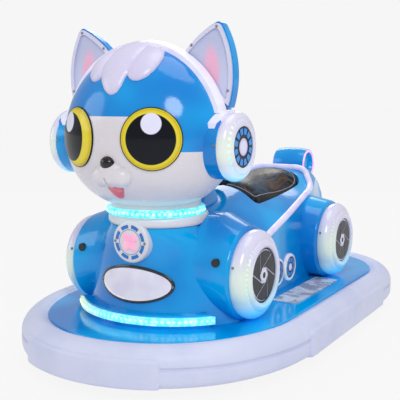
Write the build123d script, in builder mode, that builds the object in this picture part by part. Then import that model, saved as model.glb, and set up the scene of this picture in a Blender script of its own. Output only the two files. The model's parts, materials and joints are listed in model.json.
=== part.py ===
from build123d import *
import math
import os

# Kiddie bumper car: an animal body on a low deck with a soft bumper all round.
# Millimetres. +X is the car's left, -Y its nose, +Z up; the floor is at z = 0.
# The origin is on the floor under the middle of the bumper.

# deck
deck_half_width = 407
deck_half_length = 773
deck_nose_length = 470      # how far the rounded nose reaches back to the straight sides
deck_nose_pinch = 22        # the nose's end arc is this much tighter than the half width
deck_tail_radius = 334
deck_top = 148
deck_plate = 12
deck_skirt = 8
deck_bottom = 60
deck_lip = 9                # the lip reaches this far over the bumper
deck_lip_height = 9
seat_gap = 0.3              # clearance where one piece rests against another

# bumper
bumper_width = 94
bumper_bottom = 35
bumper_top = 157
bumper_top_round = 58
bumper_bottom_round = 32
bumper_inner_drop = 20      # the inner edge dips this far to pass below the deck lip
bumper_inner_slope = 36
bumper_groove_bottom = 92
bumper_groove_height = 11
bumper_groove_depth = 6
block_stand = 6             # buffer blocks stand this far out of the bumper
block_root = 24
block_bottom = 41
block_height = 84
block_round = 9
block_half_width = 238      # of the block across the nose, and of the one across the tail
block_front = -335          # ends of the blocks along the sides
block_rear = 388

# round lamps in place of road wheels, and the fenders that carry them
lamp_height = 294
lamp_plane = 298            # where lamps stand on the fenders
lamp_depth = 57
front_lamp_y = -369
rear_lamp_y = 342
front_lamp_radius = 145
rear_lamp_radius = 144
front_hub_radius = 88
rear_hub_radius = 85
hub_recess = 16
disc_thickness = 9
blade_count = 6
blade_gap = 2
blade_stand = 2.5
fender_margin = 6
fender_round = 10
fender_swell = 206          # where the fender is at its largest
fender_root = 90            # fenders start this far out, inside the body

# chest
chest_back = -340
step_top = 191
step_radius = 318
step_centre = -322
neck_radius = 158
neck_centre = -432
neck_base = 447

# light strip on the step
strip_bottom = 161
strip_height = 24
strip_thickness = 11
strip_back = -523

# saddle body
seat_half_width = 150
seat_length = 488
seat_front = -16
seat_thickness = 34
seat_front_round = 26
seat_rear_round = 130
seat_edge_round = 9

# tail roll
roll_y = 658
roll_z = 556
roll_radius = 72
roll_half_length = 70
roll_dish = 50
roll_dish_depth = 14
roll_ring_radius = 58
roll_ring_section = 5

# light tube along the saddle
tube_radius = 12

# exhaust barrels
pipe_radius = 52
pipe_end = 258
pipe_root = 205
pipe_height = 230
pipe_spread = 52
pipe_disc_radius = 40
pipe_disc_pads = 8
pipe_recess = 8
pipe_round = 7

# head
head_half_width = 285
head_squash = 0.8           # depth as a share of width
head_y = -485
head_z = 722
head_crown_height = 290
head_crown_radius = 140
head_chin_depth = 220
head_chin_radius = 700
brow_rise = 67              # the cap's edge over the nose, above the widest part
cheek_drop = 30             # the cap's edge at the cheeks, below the widest part
brow_sweep = 38

# neck rings
collar_bottom = 447
collar_height = 34
collar_section = 14
neck_ring_y = -450
neck_ring_radius = 160
neck_ring_height = 24

# ears
ear_y = -492
ear_depth = 45
ear_edge_round = 18
lining_inset = 4
lining_depth = 8.5
lining_rim = 11
lining_cup = 6
lining_clear = 11           # the lining's foot stays this far off the head

# eyes
eye_x = 136
eye_y = -680
eye_z = 729
eye_radius = 92
eye_turn = 24
eye_rim = 7
eye_stand = 5
eye_sink = 100

muzzle_spread = 25
muzzle_y = -686
muzzle_z = 622
muzzle_radius = 37
nose_y = -706
nose_z = 657
nose_radius = 21
tongue_top = 592
tongue_tip = 556
tongue_half_width = 24
tongue_tip_round = 11
tongue_stand = 6

# chest trim
badge_y = -600
badge_z = 404
badge_radius = 66
plate_z = 268
plate_half_width = 143
plate_half_height = 59
plate_end_round = 20
plate_stand = 5
plate_rim = 6
corner_lamp_x = 256
corner_lamp_y = -519
corner_lamp_z = 350
corner_lamp_radius = 13
corner_lamp_length = 40

# foot space
mat_x = 316
mat_y = 66
mat_width = 96
mat_length = 408
mat_thickness = 3
pedal_y = -62
pedal_width = 76

# headphones
cup_y = -487
cup_z = 703
cup_radius = 100
cup_inner = 262
cup_face = 297
cup_lamp_radius = 108
cup_lamp_depth = 42
cup_disc_radius = 62
cup_disc_recess = 14
cup_disc_thickness = 8
cup_disc_pads = 12
pad_gap = 3
pad_stand = 1.5
yoke_thickness = 9
yoke_inner = 250
yoke_reach = 46             # the yoke's ends stop this far above the cup's middle
band_y = -520
band_width = 38
band_thickness = 14

# steering
wheel_y = -130
wheel_z = 630
wheel_lean = 50             # the wheel's axis leans this far back from upright
wheel_radius = 118
wheel_rim = 12
wheel_hub = 36
spoke_width = 30
spoke_thickness = 9
column_length = 105
column_radius = 19
console_width = 150
console_low = 52            # how far the dash reaches below and above the steering shaft
console_high = 42
console_foot = 440
shaft_radius = 9
shaft_length = 60

# running gear
drive_y = -400
drive_radius = 80
drive_width = 56
drive_rim_radius = 56
kingpin_radius = 17.5
fork_crown = 168
fork_plate = 16
fork_depth = 56
fork_leg = 10
fork_gap = 8
pin_clearance = 0.3
rear_axle_y = 380
rear_wheel_radius = 62
rear_wheel_width = 44
rear_wheel_x = 225
rear_rim_radius = 40
axle_radius = 10
rail_x = 150
rail_section = 40
rail_front = -deck_half_length + 83
rail_rear = deck_half_length - 53
bolt_radius = 5.5
bolt_spacing_y = 400
bolt_centre_y = -50

left_right = (("left", 1), ("right", -1))

os.makedirs("parts", exist_ok=True)


def side_plane(y, z):
    # looks along Y: local x is X, local y is Z
    return Plane((0, y, z), x_dir=(1, 0, 0), z_dir=(0, -1, 0))


def x_axis(y, z):
    return Axis((0, y, z), (1, 0, 0))


def save(built, name):
    built.part.label = name
    export_step(built.part, f"parts/{name}.step")


def oval_quarter(reach, height, end_radius, up):
    # Two arcs without a corner from (reach, 0) to (0, height); up = -1 turns them down.
    rise = height - end_radius
    side_radius = (reach**2 + rise**2 - end_radius**2) / (2 * (reach - end_radius))
    side_centre = reach - side_radius
    if side_radius > end_radius:
        turn = math.degrees(math.atan2(rise, -side_centre))
    else:
        turn = math.degrees(math.atan2(-rise, side_centre))
    with BuildLine() as quarter:
        CenterArc((side_centre, 0), side_radius, 0, up * turn)
        CenterArc((0, up * rise), end_radius, up * turn, up * (90 - turn))
    return quarter.line


def deck_plan():
    # oval nose, straight sides, round tail corners
    straight_front = -deck_half_length + deck_nose_length
    corner_x = deck_half_width - deck_tail_radius
    corner_y = deck_half_length - deck_tail_radius
    nose = oval_quarter(deck_half_width, deck_nose_length, deck_half_width - deck_nose_pinch, -1)
    with BuildSketch() as plan:
        with BuildLine():
            add(nose.moved(Location((0, straight_front, 0))))
            Line((deck_half_width, straight_front), (deck_half_width, corner_y))
            CenterArc((corner_x, corner_y), deck_tail_radius, 0, 90)
            Line((corner_x, deck_half_length), (0, deck_half_length))
            mirror(about=Plane.YZ)
        make_face()
    return plan.sketch


# --- deck -------------------------------------------------------------------
drive_well = (2 * rail_x + rail_section + 14, 250)

with BuildPart() as base_deck:
    with BuildSketch(Plane.XY.offset(deck_bottom)):
        add(deck_plan())
    extrude(amount=deck_top - deck_bottom)
    with BuildSketch(Plane.XY.offset(deck_bottom)):
        add(deck_plan())
        offset(amount=-deck_skirt)
    extrude(amount=deck_top - deck_plate - deck_bottom, mode=Mode.SUBTRACT)
    with BuildSketch(Plane.XY.offset(deck_top - deck_lip_height)):
        add(deck_plan())
        offset(amount=deck_lip)
    extrude(amount=deck_lip_height)
    rim = base_deck.edges().filter_by_position(Axis.Z, deck_top - 0.01, deck_top + 0.01)
    fillet(rim, radius=deck_lip_height / 2)
    with BuildSketch(Plane.XY.offset(deck_top)):
        with Locations((0, drive_y)):
            Rectangle(*drive_well)
    extrude(amount=-2 * deck_plate, mode=Mode.SUBTRACT)
save(base_deck, "base_deck")

# --- soft bumper ring -------------------------------------------------------
tail_reach = deck_half_length + 2 * bumper_width
# buffer blocks: centre along X and Y, width along X, length along Y
block_regions = (
    (0, -tail_reach, 2 * block_half_width, tail_reach),
    (0, tail_reach, 2 * block_half_width, tail_reach),
    (tail_reach, (block_front + block_rear) / 2, 2 * tail_reach, block_rear - block_front),
    (-tail_reach, (block_front + block_rear) / 2, 2 * tail_reach, block_rear - block_front),
)


def bumper_band(inward, outward):
    # a band along the bumper's outer side
    with BuildSketch() as inner:
        add(deck_plan())
        offset(amount=bumper_width - inward)
    with BuildSketch() as band:
        add(deck_plan())
        offset(amount=bumper_width + outward)
        add(inner.sketch, mode=Mode.SUBTRACT)
    return band.sketch


def buffer_block(region):
    x, y, width, length = region
    with BuildPart() as block:
        with BuildSketch(Plane.XY.offset(block_bottom)):
            add(bumper_band(block_root, block_stand))
            with Locations((x, y)):
                Rectangle(width, length, mode=Mode.INTERSECT)
        extrude(amount=block_height)
        standing = block.edges().filter_by(Axis.Z)
        middle = y if x else 0
        corners = standing.sort_by(lambda edge: abs((edge @ 0.5).X) + abs((edge @ 0.5).Y - middle))
        fillet(corners[-2:], radius=block_round)
    return block.part


with BuildPart() as bumper_ring:
    with BuildSketch(Plane.XY.offset(bumper_bottom)):
        add(deck_plan())
        offset(amount=bumper_width)
    extrude(amount=bumper_top - bumper_bottom)
    outer_top = bumper_ring.edges().filter_by_position(Axis.Z, bumper_top - 0.01, bumper_top + 0.01)
    fillet(outer_top, radius=bumper_top_round)
    outer_foot = bumper_ring.edges().group_by(Axis.Z)[0]
    fillet(outer_foot, radius=bumper_bottom_round)
    with BuildSketch(Plane.XY.offset(bumper_bottom)):
        add(deck_plan())
        offset(amount=seat_gap)
    extrude(amount=bumper_top - bumper_bottom, mode=Mode.SUBTRACT)
    crest = bumper_ring.faces().sort_by(Axis.Z)[-1]
    chamfer(crest.inner_wires()[0].edges(), length=bumper_inner_drop, length2=bumper_inner_slope)
    with BuildSketch(Plane.XY.offset(bumper_groove_bottom)):
        add(bumper_band(bumper_groove_depth, block_stand))
    extrude(amount=bumper_groove_height, mode=Mode.SUBTRACT)
    for block in block_regions:
        add(buffer_block(block))
save(bumper_ring, "bumper_ring")

# --- body: chest, saddle and fenders ----------------------------------------
# height, centre along Y, radius
chest_sections = (
    (deck_top, -296, 312),
    (235, -292, 303),
    (330, -284, 295),
    (400, -347, 235),
    (neck_base, neck_centre, neck_radius),
)
# y, half width at the deck, half width and height of the waist, the same of the shoulder, height of the crown
saddle_sections = (
    (-430, 212, 204, 330, 112, 430, 445),
    (-235, 246, 245, 352, 138, 444, 494),
    (-40, 250, 248, 392, 140, 468, 522),
    (155, 245, 233, 443, 140, 477, 542),
    (350, 227, 204, 478, 144, 500, 544),
    (545, 183, 150, 498, 114, 540, 550),
    (740, 127, 103, 424, 78, 477, 487),
)
saddle_waist_round = 24
# y, height of the seat's edges and of its crown
seat_rows = (
    (seat_front - 20, 472, 524),
    (110, 478, 551),
    (290, 488, 547),
    (400, 514, 556),
    (510, 544, 563),
)
# end of the car, lamp centre along Y, lamp radius, hub radius, then the swollen fender's centre and radius
lamp_rows = (
    ("front", front_lamp_y, front_lamp_radius, front_hub_radius, -353, 314, 166),
    ("rear", rear_lamp_y, rear_lamp_radius, rear_hub_radius, 345, 304, 158),
)
tower_width = 2 * rail_x + rail_section
bearing_top = 262
tower_pocket = (tower_width + 14, 250, bearing_top + 12 - deck_top)
battery_size = (200, 180, 168)
battery_y = 170


def chest_form(grow):
    with BuildPart() as form:
        for height, centre, radius in chest_sections:
            with BuildSketch(Plane.XY.offset(height)):
                with Locations((0, centre)):
                    Circle(radius + grow)
        loft()
    return form.part


def saddle_section(row):
    y, foot, waist, waist_height, shoulder, shoulder_height, crown_height = row
    with BuildSketch() as section:
        with BuildLine():
            Polyline(
                (-shoulder, shoulder_height), (-waist, waist_height), (-foot, deck_top),
                (foot, deck_top), (waist, waist_height), (shoulder, shoulder_height),
            )
            ThreePointArc((shoulder, shoulder_height), (0, crown_height), (-shoulder, shoulder_height))
        make_face()
        fillet(section.vertices().group_by(Axis.Y)[1], radius=saddle_waist_round)
    return section.sketch


def seat_plan(grow):
    with BuildSketch() as plan:
        with Locations((0, seat_front + seat_length / 2)):
            Rectangle(2 * seat_half_width, seat_length)
        ends = plan.vertices().group_by(Axis.Y)
        fillet(ends[0], radius=seat_front_round)
        fillet(plan.vertices().group_by(Axis.Y)[-1], radius=seat_rear_round)
        offset(amount=grow)
    return plan.sketch


def seat_form(low, high, grow):
    # the arched seat between two heights told from its top surface
    reach = seat_half_width + 10
    with BuildPart() as form:
        for y, edge, crown in seat_rows:
            with BuildSketch(Plane.XZ.offset(-y)):
                with BuildLine():
                    ThreePointArc((-reach, edge + low), (0, crown + low), (reach, edge + low))
                    Line((reach, edge + low), (reach, edge + high))
                    ThreePointArc((reach, edge + high), (0, crown + high), (-reach, edge + high))
                    Line((-reach, edge + high), (-reach, edge + low))
                make_face()
        loft()
        with BuildSketch(Plane.XY.offset(deck_top)):
            add(seat_plan(grow))
        extrude(amount=4 * deck_top, mode=Mode.INTERSECT)
    return form.part


# the light tube's corners on the left side, from inside the front fender to behind the seat
tube_route = (
    (250, -240, 344),
    (235, 90, 428),
    (seat_half_width + 44, seat_front + seat_length - 77, 488),
    (seat_half_width - 38, seat_front + seat_length + 40, 554),
)
tube_corner = (400, 200, 80)


def swept_tube(radius):
    half = [Vector(*point) for point in tube_route]
    other = [Vector(-point[0], point[1], point[2]) for point in reversed(tube_route)]
    with BuildPart() as tube:
        with BuildLine() as path:
            FilletPolyline(*half, *other, radius=list(tube_corner) + list(reversed(tube_corner)))
        with BuildSketch(Plane(path.line @ 0, z_dir=path.line % 0)):
            Circle(radius)
        sweep()
    return tube.part


tube_groove = swept_tube(tube_radius + seat_gap)

def fender_form(row, side):
    # swells from the lamp inwards, then runs on into the body
    end, lamp_y, ring_radius, hub_radius, swell_y, swell_z, swell_radius = row
    with BuildPart() as form:
        with BuildSketch(Plane.YZ.offset(fender_swell * side)):
            with Locations((swell_y, swell_z)):
                Circle(swell_radius)
        with BuildSketch(Plane.YZ.offset(lamp_plane * side)):
            with Locations((lamp_y, lamp_height)):
                Circle(ring_radius + fender_margin)
        loft(ruled=True)
        edge = form.edges().filter_by(GeomType.CIRCLE).sort_by(lambda rim: abs((rim @ 0).X))[-1]
        fillet(edge, radius=fender_round)
        with BuildSketch(Plane.YZ.offset(fender_root * side)):
            with Locations((swell_y, swell_z)):
                Circle(swell_radius)
        extrude(amount=(fender_swell - fender_root) * side)
    return form.part


with BuildPart() as body_shell:
    add(chest_form(0))
    split(bisect_by=Plane.XZ.offset(-chest_back), keep=Keep.TOP)
    Box(2 * (lamp_plane - fender_round), 2 * deck_half_length, 4 * neck_base, mode=Mode.INTERSECT)
    with BuildSketch(Plane.XY.offset(deck_top)):
        with Locations((0, step_centre)):
            Circle(step_radius)
        with Locations((0, strip_back)):
            Rectangle(2 * step_radius, step_radius, align=(Align.CENTER, Align.MAX), mode=Mode.INTERSECT)
    extrude(amount=step_top - deck_top)
    for row in saddle_sections:
        with BuildSketch(Plane.XZ.offset(-row[0])):
            add(saddle_section(row))
    loft()
    for row in lamp_rows:
        for name, side in left_right:
            add(fender_form(row, side))
    split(bisect_by=Plane.XY.offset(deck_top), keep=Keep.TOP)
    # hollows: drive tower, battery, seat, exhaust barrels, roll, light tube
    with BuildSketch(Plane.XY.offset(deck_top)):
        with Locations((0, drive_y)):
            Rectangle(tower_pocket[0], tower_pocket[1])
    extrude(amount=tower_pocket[2], mode=Mode.SUBTRACT)
    with BuildSketch(Plane.XY.offset(deck_top)):
        with Locations((0, battery_y)):
            Rectangle(battery_size[0] + 20, battery_size[1] + 20)
    extrude(amount=battery_size[2] + 10, mode=Mode.SUBTRACT)
    add(seat_form(-seat_thickness - seat_gap, 4 * seat_thickness, seat_gap), mode=Mode.SUBTRACT)
    for name, side in left_right:
        with BuildSketch(Plane.YZ.offset(pipe_root * side)):
            with Locations((-pipe_spread, pipe_height), (pipe_spread, pipe_height)):
                Circle(pipe_radius + seat_gap)
        extrude(amount=2 * pipe_radius * side, mode=Mode.SUBTRACT)
    with BuildSketch(Plane.YZ):
        with Locations((roll_y, roll_z)):
            Circle(roll_radius + seat_gap)
    extrude(amount=2 * roll_radius, both=True, mode=Mode.SUBTRACT)
    with BuildSketch(Plane.XY.offset(collar_bottom)):
        with Locations((0, neck_centre)):
            Circle(neck_radius + collar_section / 2 + seat_gap)
    extrude(amount=4 * collar_height, mode=Mode.SUBTRACT)
    add(tube_groove, mode=Mode.SUBTRACT)
save(body_shell, "body_shell")

# --- saddle trim --------------------------------------------------------------
saddle_light_tube = Part(swept_tube(tube_radius).wrapped)
saddle_light_tube.label = "saddle_light_tube"
export_step(saddle_light_tube, "parts/saddle_light_tube.step")

with BuildPart() as seat_pad:
    add(seat_form(-seat_thickness, 0, 0))
    fillet(seat_pad.faces().sort_by(Axis.Z)[-1].edges(), radius=seat_edge_round)
save(seat_pad, "seat_pad")

with BuildPart() as tail_roll:
    with BuildSketch(side_plane(roll_y, roll_z)):
        with BuildLine():
            Line((0, 0), (0, roll_radius))
            ThreePointArc(
                (0, roll_radius), (roll_half_length * 0.6, roll_radius - 2),
                (roll_half_length, roll_radius - 7),
            )
            Line((roll_half_length, roll_radius - 7), (roll_half_length, roll_dish))
            Line((roll_half_length, roll_dish), (roll_half_length - roll_dish_depth, roll_dish - 8))
            Line((roll_half_length - roll_dish_depth, roll_dish - 8), (roll_half_length - roll_dish_depth, 0))
            Line((roll_half_length - roll_dish_depth, 0), (0, 0))
        make_face()
        mirror(about=Plane.YZ)
    revolve(axis=x_axis(roll_y, roll_z))
    with BuildSketch(side_plane(roll_y, roll_z)):
        with Locations((roll_half_length, roll_ring_radius), (-roll_half_length, roll_ring_radius)):
            Circle(roll_ring_section + pin_clearance)
    revolve(axis=x_axis(roll_y, roll_z), mode=Mode.SUBTRACT)
save(tail_roll, "tail_roll")

with BuildPart() as tail_light_rings:
    with BuildSketch(side_plane(roll_y, roll_z)):
        with Locations((roll_half_length, roll_ring_radius), (-roll_half_length, roll_ring_radius)):
            Circle(roll_ring_section)
    revolve(axis=x_axis(roll_y, roll_z))
save(tail_light_rings, "tail_light_rings")

# --- round lamps and their hub discs ------------------------------------------
for end, lamp_y, ring_radius, hub_radius, *swell in lamp_rows:
    for name, side in left_right:
        face = (lamp_plane + lamp_depth) * side
        back = lamp_plane * side
        crown = (lamp_plane + lamp_depth * 0.88) * side
        floor = (lamp_plane + lamp_depth - hub_recess) * side
        with BuildPart() as lamp:
            with BuildSketch(side_plane(lamp_y, lamp_height)):
                with BuildLine():
                    Line((back, 0), (back, ring_radius - 8))
                    ThreePointArc(
                        (back, ring_radius - 8),
                        (back + (crown - back) * 0.55, ring_radius - 4),
                        (crown, ring_radius - 30),
                    )
                    ThreePointArc(
                        (crown, ring_radius - 30),
                        (face, (ring_radius + hub_radius) / 2 - 8),
                        (face - 2 * side, hub_radius),
                    )
                    Line((face - 2 * side, hub_radius), (floor, hub_radius))
                    Line((floor, hub_radius), (floor, 0))
                    Line((floor, 0), (back, 0))
                make_face()
            revolve(axis=x_axis(lamp_y, lamp_height))
        save(lamp, f"wheel_lamp_{end}_{name}")



def disc_plane(side, x, y, z):
    # seen from outside the car, local x runs to the right and local y runs up
    return Plane((x * side, y, z), x_dir=(0, side, 0), z_dir=(side, 0, 0))


def shutter_blades(hub, rim, count, gap):
    # blades between straight lines that all touch the hub
    swing = math.acos(hub / rim)
    step = 2 * math.pi / count
    touch = Vector(hub, 0)
    ends = [Vector(rim * math.cos(turn), rim * math.sin(turn)) for turn in (-swing, step / 2 - swing, step - swing)]
    with BuildSketch() as blades:
        with BuildSketch(mode=Mode.PRIVATE) as blade:
            with BuildLine():
                Line(touch, ends[0])
                ThreePointArc(*ends)
                Line(ends[2], touch.rotate(Axis.Z, math.degrees(step)))
                Line(touch.rotate(Axis.Z, math.degrees(step)), touch)
            make_face()
            offset(amount=-gap, kind=Kind.INTERSECTION)
        with PolarLocations(0, count):
            add(blade.sketch)
    return blades.sketch


def window_pads(inner, outer, count, gap):
    # a ring of pads between straight bars
    with BuildSketch() as pads:
        Circle(outer)
        Circle(inner, mode=Mode.SUBTRACT)
        with PolarLocations(0, count):
            Rectangle(2 * outer, gap, align=(Align.MIN, Align.CENTER), mode=Mode.SUBTRACT)
    return pads.sketch


for name, side in left_right:
    with BuildPart() as wheel_discs:
        for end, lamp_y, ring_radius, hub_radius, *swell in lamp_rows:
            floor = lamp_plane + lamp_depth - hub_recess
            with BuildSketch(disc_plane(side, floor, lamp_y, lamp_height)):
                Circle(hub_radius - seat_gap)
            extrude(amount=disc_thickness)
            with BuildSketch(disc_plane(side, floor, lamp_y, lamp_height)):
                add(shutter_blades(hub_radius * 0.3, hub_radius * 0.92, blade_count, blade_gap))
                Circle(hub_radius * 0.2)
            extrude(amount=disc_thickness + blade_stand)
    save(wheel_discs, f"wheel_discs_{name}")

# --- exhaust barrels ------------------------------------------------------------
with BuildPart() as exhaust_pipes:
    for name, side in left_right:
        with BuildSketch(Plane.YZ.offset((pipe_root + seat_gap) * side)):
            with Locations((-pipe_spread, pipe_height), (pipe_spread, pipe_height)):
                Circle(pipe_radius - 1)
        extrude(amount=(pipe_end - pipe_root) * side)
        with BuildSketch(Plane.YZ.offset((pipe_end - pipe_recess) * side)):
            with Locations((-pipe_spread, pipe_height), (pipe_spread, pipe_height)):
                Circle(pipe_disc_radius)
        extrude(amount=4 * pipe_recess * side, mode=Mode.SUBTRACT)
    rims = exhaust_pipes.edges().filter_by(GeomType.CIRCLE)
    fillet(rims.filter_by(lambda rim: rim.radius > pipe_disc_radius + 1).sort_by(
        lambda rim: abs((rim @ 0).X))[-4:], radius=pipe_round)
save(exhaust_pipes, "exhaust_pipes")

with BuildPart() as pipe_discs:
    for name, side in left_right:
        for pipe_y in (-pipe_spread, pipe_spread):
            with BuildSketch(disc_plane(side, pipe_end - pipe_recess, pipe_y, pipe_height)):
                Circle(pipe_disc_radius - seat_gap)
            extrude(amount=pipe_recess - 3)
            with BuildSketch(disc_plane(side, pipe_end - pipe_recess, pipe_y, pipe_height)):
                add(window_pads(pipe_disc_radius * 0.5, pipe_disc_radius * 0.85, pipe_disc_pads, pad_gap))
                Circle(pipe_disc_radius * 0.35)
            extrude(amount=pipe_recess - 3 + pad_stand)
save(pipe_discs, "pipe_discs")

# --- head -----------------------------------------------------------------------
head_origin = (0, head_y, head_z)
crown_half = oval_quarter(head_half_width, head_crown_height, head_crown_radius, 1)
chin_half = oval_quarter(head_half_width, head_chin_depth, head_chin_radius, -1)


def head_form(grow):
    # turned about its upright axis, then pressed flatter from front to back
    share = (head_half_width + grow) / head_half_width
    outer_y = head_y / head_squash
    with BuildPart() as form:
        with BuildSketch(side_plane(outer_y, head_z)):
            with BuildLine():
                add(crown_half.scale(share))
                add(chin_half.scale(share))
                Line((0, -head_chin_depth * share), (0, head_crown_height * share))
            make_face()
        revolve(axis=Axis((0, outer_y, head_z), (0, 0, 1)))
        scale(by=(1, head_squash, 1))
    return form.part


head_solid = head_form(0)
head_clear = head_form(seat_gap)


def face_outline():
    # all of the head below the edge of the coloured cap, seen from the front
    low = head_z - head_chin_depth - 20
    wide = head_half_width + 20
    brow_end = eye_x + eye_radius * 0.6
    brow_height = head_z + brow_rise
    cheek_height = head_z - cheek_drop
    with BuildSketch(Plane.XZ) as outline:
        with BuildLine():
            Polyline((-brow_end, cheek_height), (-wide, cheek_height), (-wide, low),
                     (wide, low), (wide, cheek_height), (brow_end, cheek_height))
            ThreePointArc((brow_end, cheek_height), (brow_end * 0.62, brow_height - brow_sweep), (0, brow_height))
            ThreePointArc((0, brow_height), (-brow_end * 0.62, brow_height - brow_sweep), (-brow_end, cheek_height))
        make_face()
    return outline.sketch


collar_top = collar_bottom + collar_height

with BuildPart() as head_face:
    add(head_solid)
    with BuildSketch(Plane.XZ):
        add(face_outline())
    extrude(amount=3 * head_half_width, both=True, mode=Mode.INTERSECT)
save(head_face, "head_face")

with BuildPart() as head_crown:
    add(head_solid)
    with BuildSketch(Plane.XZ):
        add(face_outline())
    extrude(amount=3 * head_half_width, both=True, mode=Mode.SUBTRACT)
save(head_crown, "head_crown")

# --- neck -----------------------------------------------------------------------
with BuildPart() as neck_collar:
    with BuildSketch(Plane.XY.offset(collar_bottom + seat_gap)):
        with Locations((0, neck_centre)):
            Circle(neck_radius + collar_section / 2)
    extrude(amount=collar_height)
    fillet(neck_collar.edges(), radius=collar_section)
    with BuildSketch(Plane.XY.offset(collar_bottom + collar_height / 2)):
        with Locations((0, neck_ring_y)):
            Circle(neck_ring_radius - collar_section)
    extrude(amount=head_z - collar_bottom)
    add(head_clear, mode=Mode.SUBTRACT)
save(neck_collar, "neck_collar")

ring_base = collar_bottom + collar_height + 2 * seat_gap
with BuildPart() as neck_light_ring:
    with BuildSketch(Plane.XY.offset(ring_base)):
        with Locations((0, neck_ring_y)):
            Circle(neck_ring_radius)
            Circle(neck_ring_radius - collar_section + seat_gap, mode=Mode.SUBTRACT)
    extrude(amount=neck_ring_height)
    rims = neck_light_ring.edges().filter_by(GeomType.CIRCLE).sort_by(SortBy.RADIUS)[-2:]
    fillet(rims, radius=collar_section * 0.6)
    add(head_clear, mode=Mode.SUBTRACT)
save(neck_light_ring, "neck_light_ring")

# --- ears -----------------------------------------------------------------------
# inner foot, inner bulge, tip, outer bulge, outer foot, all on the left ear
ear_inner_foot = (112, 955)
ear_inner_bulge = (186, 1034)
ear_tip = (258, 1075)
ear_outer_bulge = (303, 948)
ear_outer_foot = (290, 818)
ear_tip_round = 16


def ear_plan(inset):
    with BuildSketch() as plan:
        with BuildLine():
            ThreePointArc(ear_inner_foot, ear_inner_bulge, ear_tip)
            ThreePointArc(ear_tip, ear_outer_bulge, ear_outer_foot)
            Line(ear_outer_foot, ear_inner_foot)
        make_face()
        if inset:
            offset(amount=-inset, kind=Kind.INTERSECTION)
        fillet(plan.vertices().sort_by(Axis.Y)[-1], radius=ear_tip_round)
    return plan.sketch


with BuildPart() as ear_left:
    with BuildSketch(Plane.XZ.offset(-ear_y)):
        add(ear_plan(0))
    extrude(amount=-ear_depth)
    back_edges = ear_left.faces().sort_by(Axis.Y)[-1].edges()
    fillet(back_edges.sort_by(Axis.Z)[1:], radius=ear_edge_round)
    add(head_clear, mode=Mode.SUBTRACT)
save(ear_left, "ear_left")

with BuildPart() as ear_right:
    mirror(ear_left.part, about=Plane.YZ)
save(ear_right, "ear_right")

with BuildPart() as ear_linings:
    with BuildSketch(Plane.XZ.offset(-ear_y + seat_gap)):
        add(ear_plan(lining_inset))
    extrude(amount=lining_depth)
    with BuildSketch(Plane.XZ.offset(-ear_y + seat_gap + lining_depth)):
        add(ear_plan(lining_inset + lining_rim))
    extrude(amount=-lining_cup, mode=Mode.SUBTRACT)
    add(head_form(lining_clear), mode=Mode.SUBTRACT)
    mirror(about=Plane.YZ)
save(ear_linings, "ear_linings")

# --- headphones -----------------------------------------------------------------
with BuildPart() as headband:
    add(head_form(band_thickness))
    with BuildSketch(Plane.XZ.offset(-band_y - band_width / 2)):
        with Locations((0, cup_z + cup_radius)):
            Rectangle(4 * head_half_width, 2 * head_half_width, align=(Align.CENTER, Align.MIN))
    extrude(amount=band_width, mode=Mode.INTERSECT)
    # a yoke over each cup
    with BuildPart(mode=Mode.PRIVATE) as yokes:
        with BuildSketch(side_plane(cup_y, cup_z)):
            for name, side in left_right:
                with Locations(((yoke_inner + cup_face) / 2 * side, cup_radius + seat_gap)):
                    Rectangle(cup_face - yoke_inner, yoke_thickness, align=(Align.CENTER, Align.MIN))
        revolve(axis=x_axis(cup_y, cup_z))
        with BuildSketch(Plane.XY.offset(cup_z + yoke_reach)):
            Rectangle(4 * head_half_width, 4 * head_half_width)
            with Locations((0, cup_y)):
                Rectangle(4 * head_half_width, 4 * cup_radius, mode=Mode.INTERSECT)
        extrude(amount=2 * cup_radius, mode=Mode.INTERSECT)
    add(yokes.part)
    add(head_clear, mode=Mode.SUBTRACT)
    add(ear_linings.part, mode=Mode.SUBTRACT)
save(headband, "headband")

for name, side in left_right:
    with BuildPart() as cup:
        with BuildSketch(Plane.YZ.offset(cup_inner * side * 0.8)):
            with Locations((cup_y, cup_z)):
                Circle(cup_radius)
        extrude(amount=(cup_face - cup_inner * 0.8) * side)
        add(head_clear, mode=Mode.SUBTRACT)
    save(cup, f"ear_cup_{name}")

with BuildPart() as cup_lamps:
    for name, side in left_right:
        back = (cup_face + seat_gap) * side
        face = (cup_face + cup_lamp_depth) * side
        floor = face - cup_disc_recess * side
        with BuildSketch(side_plane(cup_y, cup_z)):
            with BuildLine():
                Line((back, 0), (back, cup_lamp_radius - 6))
                ThreePointArc(
                    (back, cup_lamp_radius - 6), (back + 20 * side, cup_lamp_radius - 4),
                    (face - 6 * side, cup_lamp_radius - 24),
                )
                ThreePointArc(
                    (face - 6 * side, cup_lamp_radius - 24), (face, cup_lamp_radius - 36),
                    (face - 3 * side, cup_disc_radius),
                )
                Line((face - 3 * side, cup_disc_radius), (floor, cup_disc_radius))
                Line((floor, cup_disc_radius), (floor, 0))
                Line((floor, 0), (back, 0))
            make_face()
        revolve(axis=x_axis(cup_y, cup_z))
save(cup_lamps, "cup_lamps")

with BuildPart() as cup_discs:
    for name, side in left_right:
        floor = cup_face + cup_lamp_depth - cup_disc_recess + seat_gap
        with BuildSketch(disc_plane(side, floor, cup_y, cup_z)):
            Circle(cup_disc_radius - seat_gap)
        extrude(amount=cup_disc_thickness)
        with BuildSketch(disc_plane(side, floor, cup_y, cup_z)):
            add(window_pads(cup_disc_radius * 0.6, cup_disc_radius * 0.9, cup_disc_pads, pad_gap))
            Circle(cup_disc_radius * 0.42)
        extrude(amount=cup_disc_thickness + pad_stand)
save(cup_discs, "cup_discs")

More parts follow.
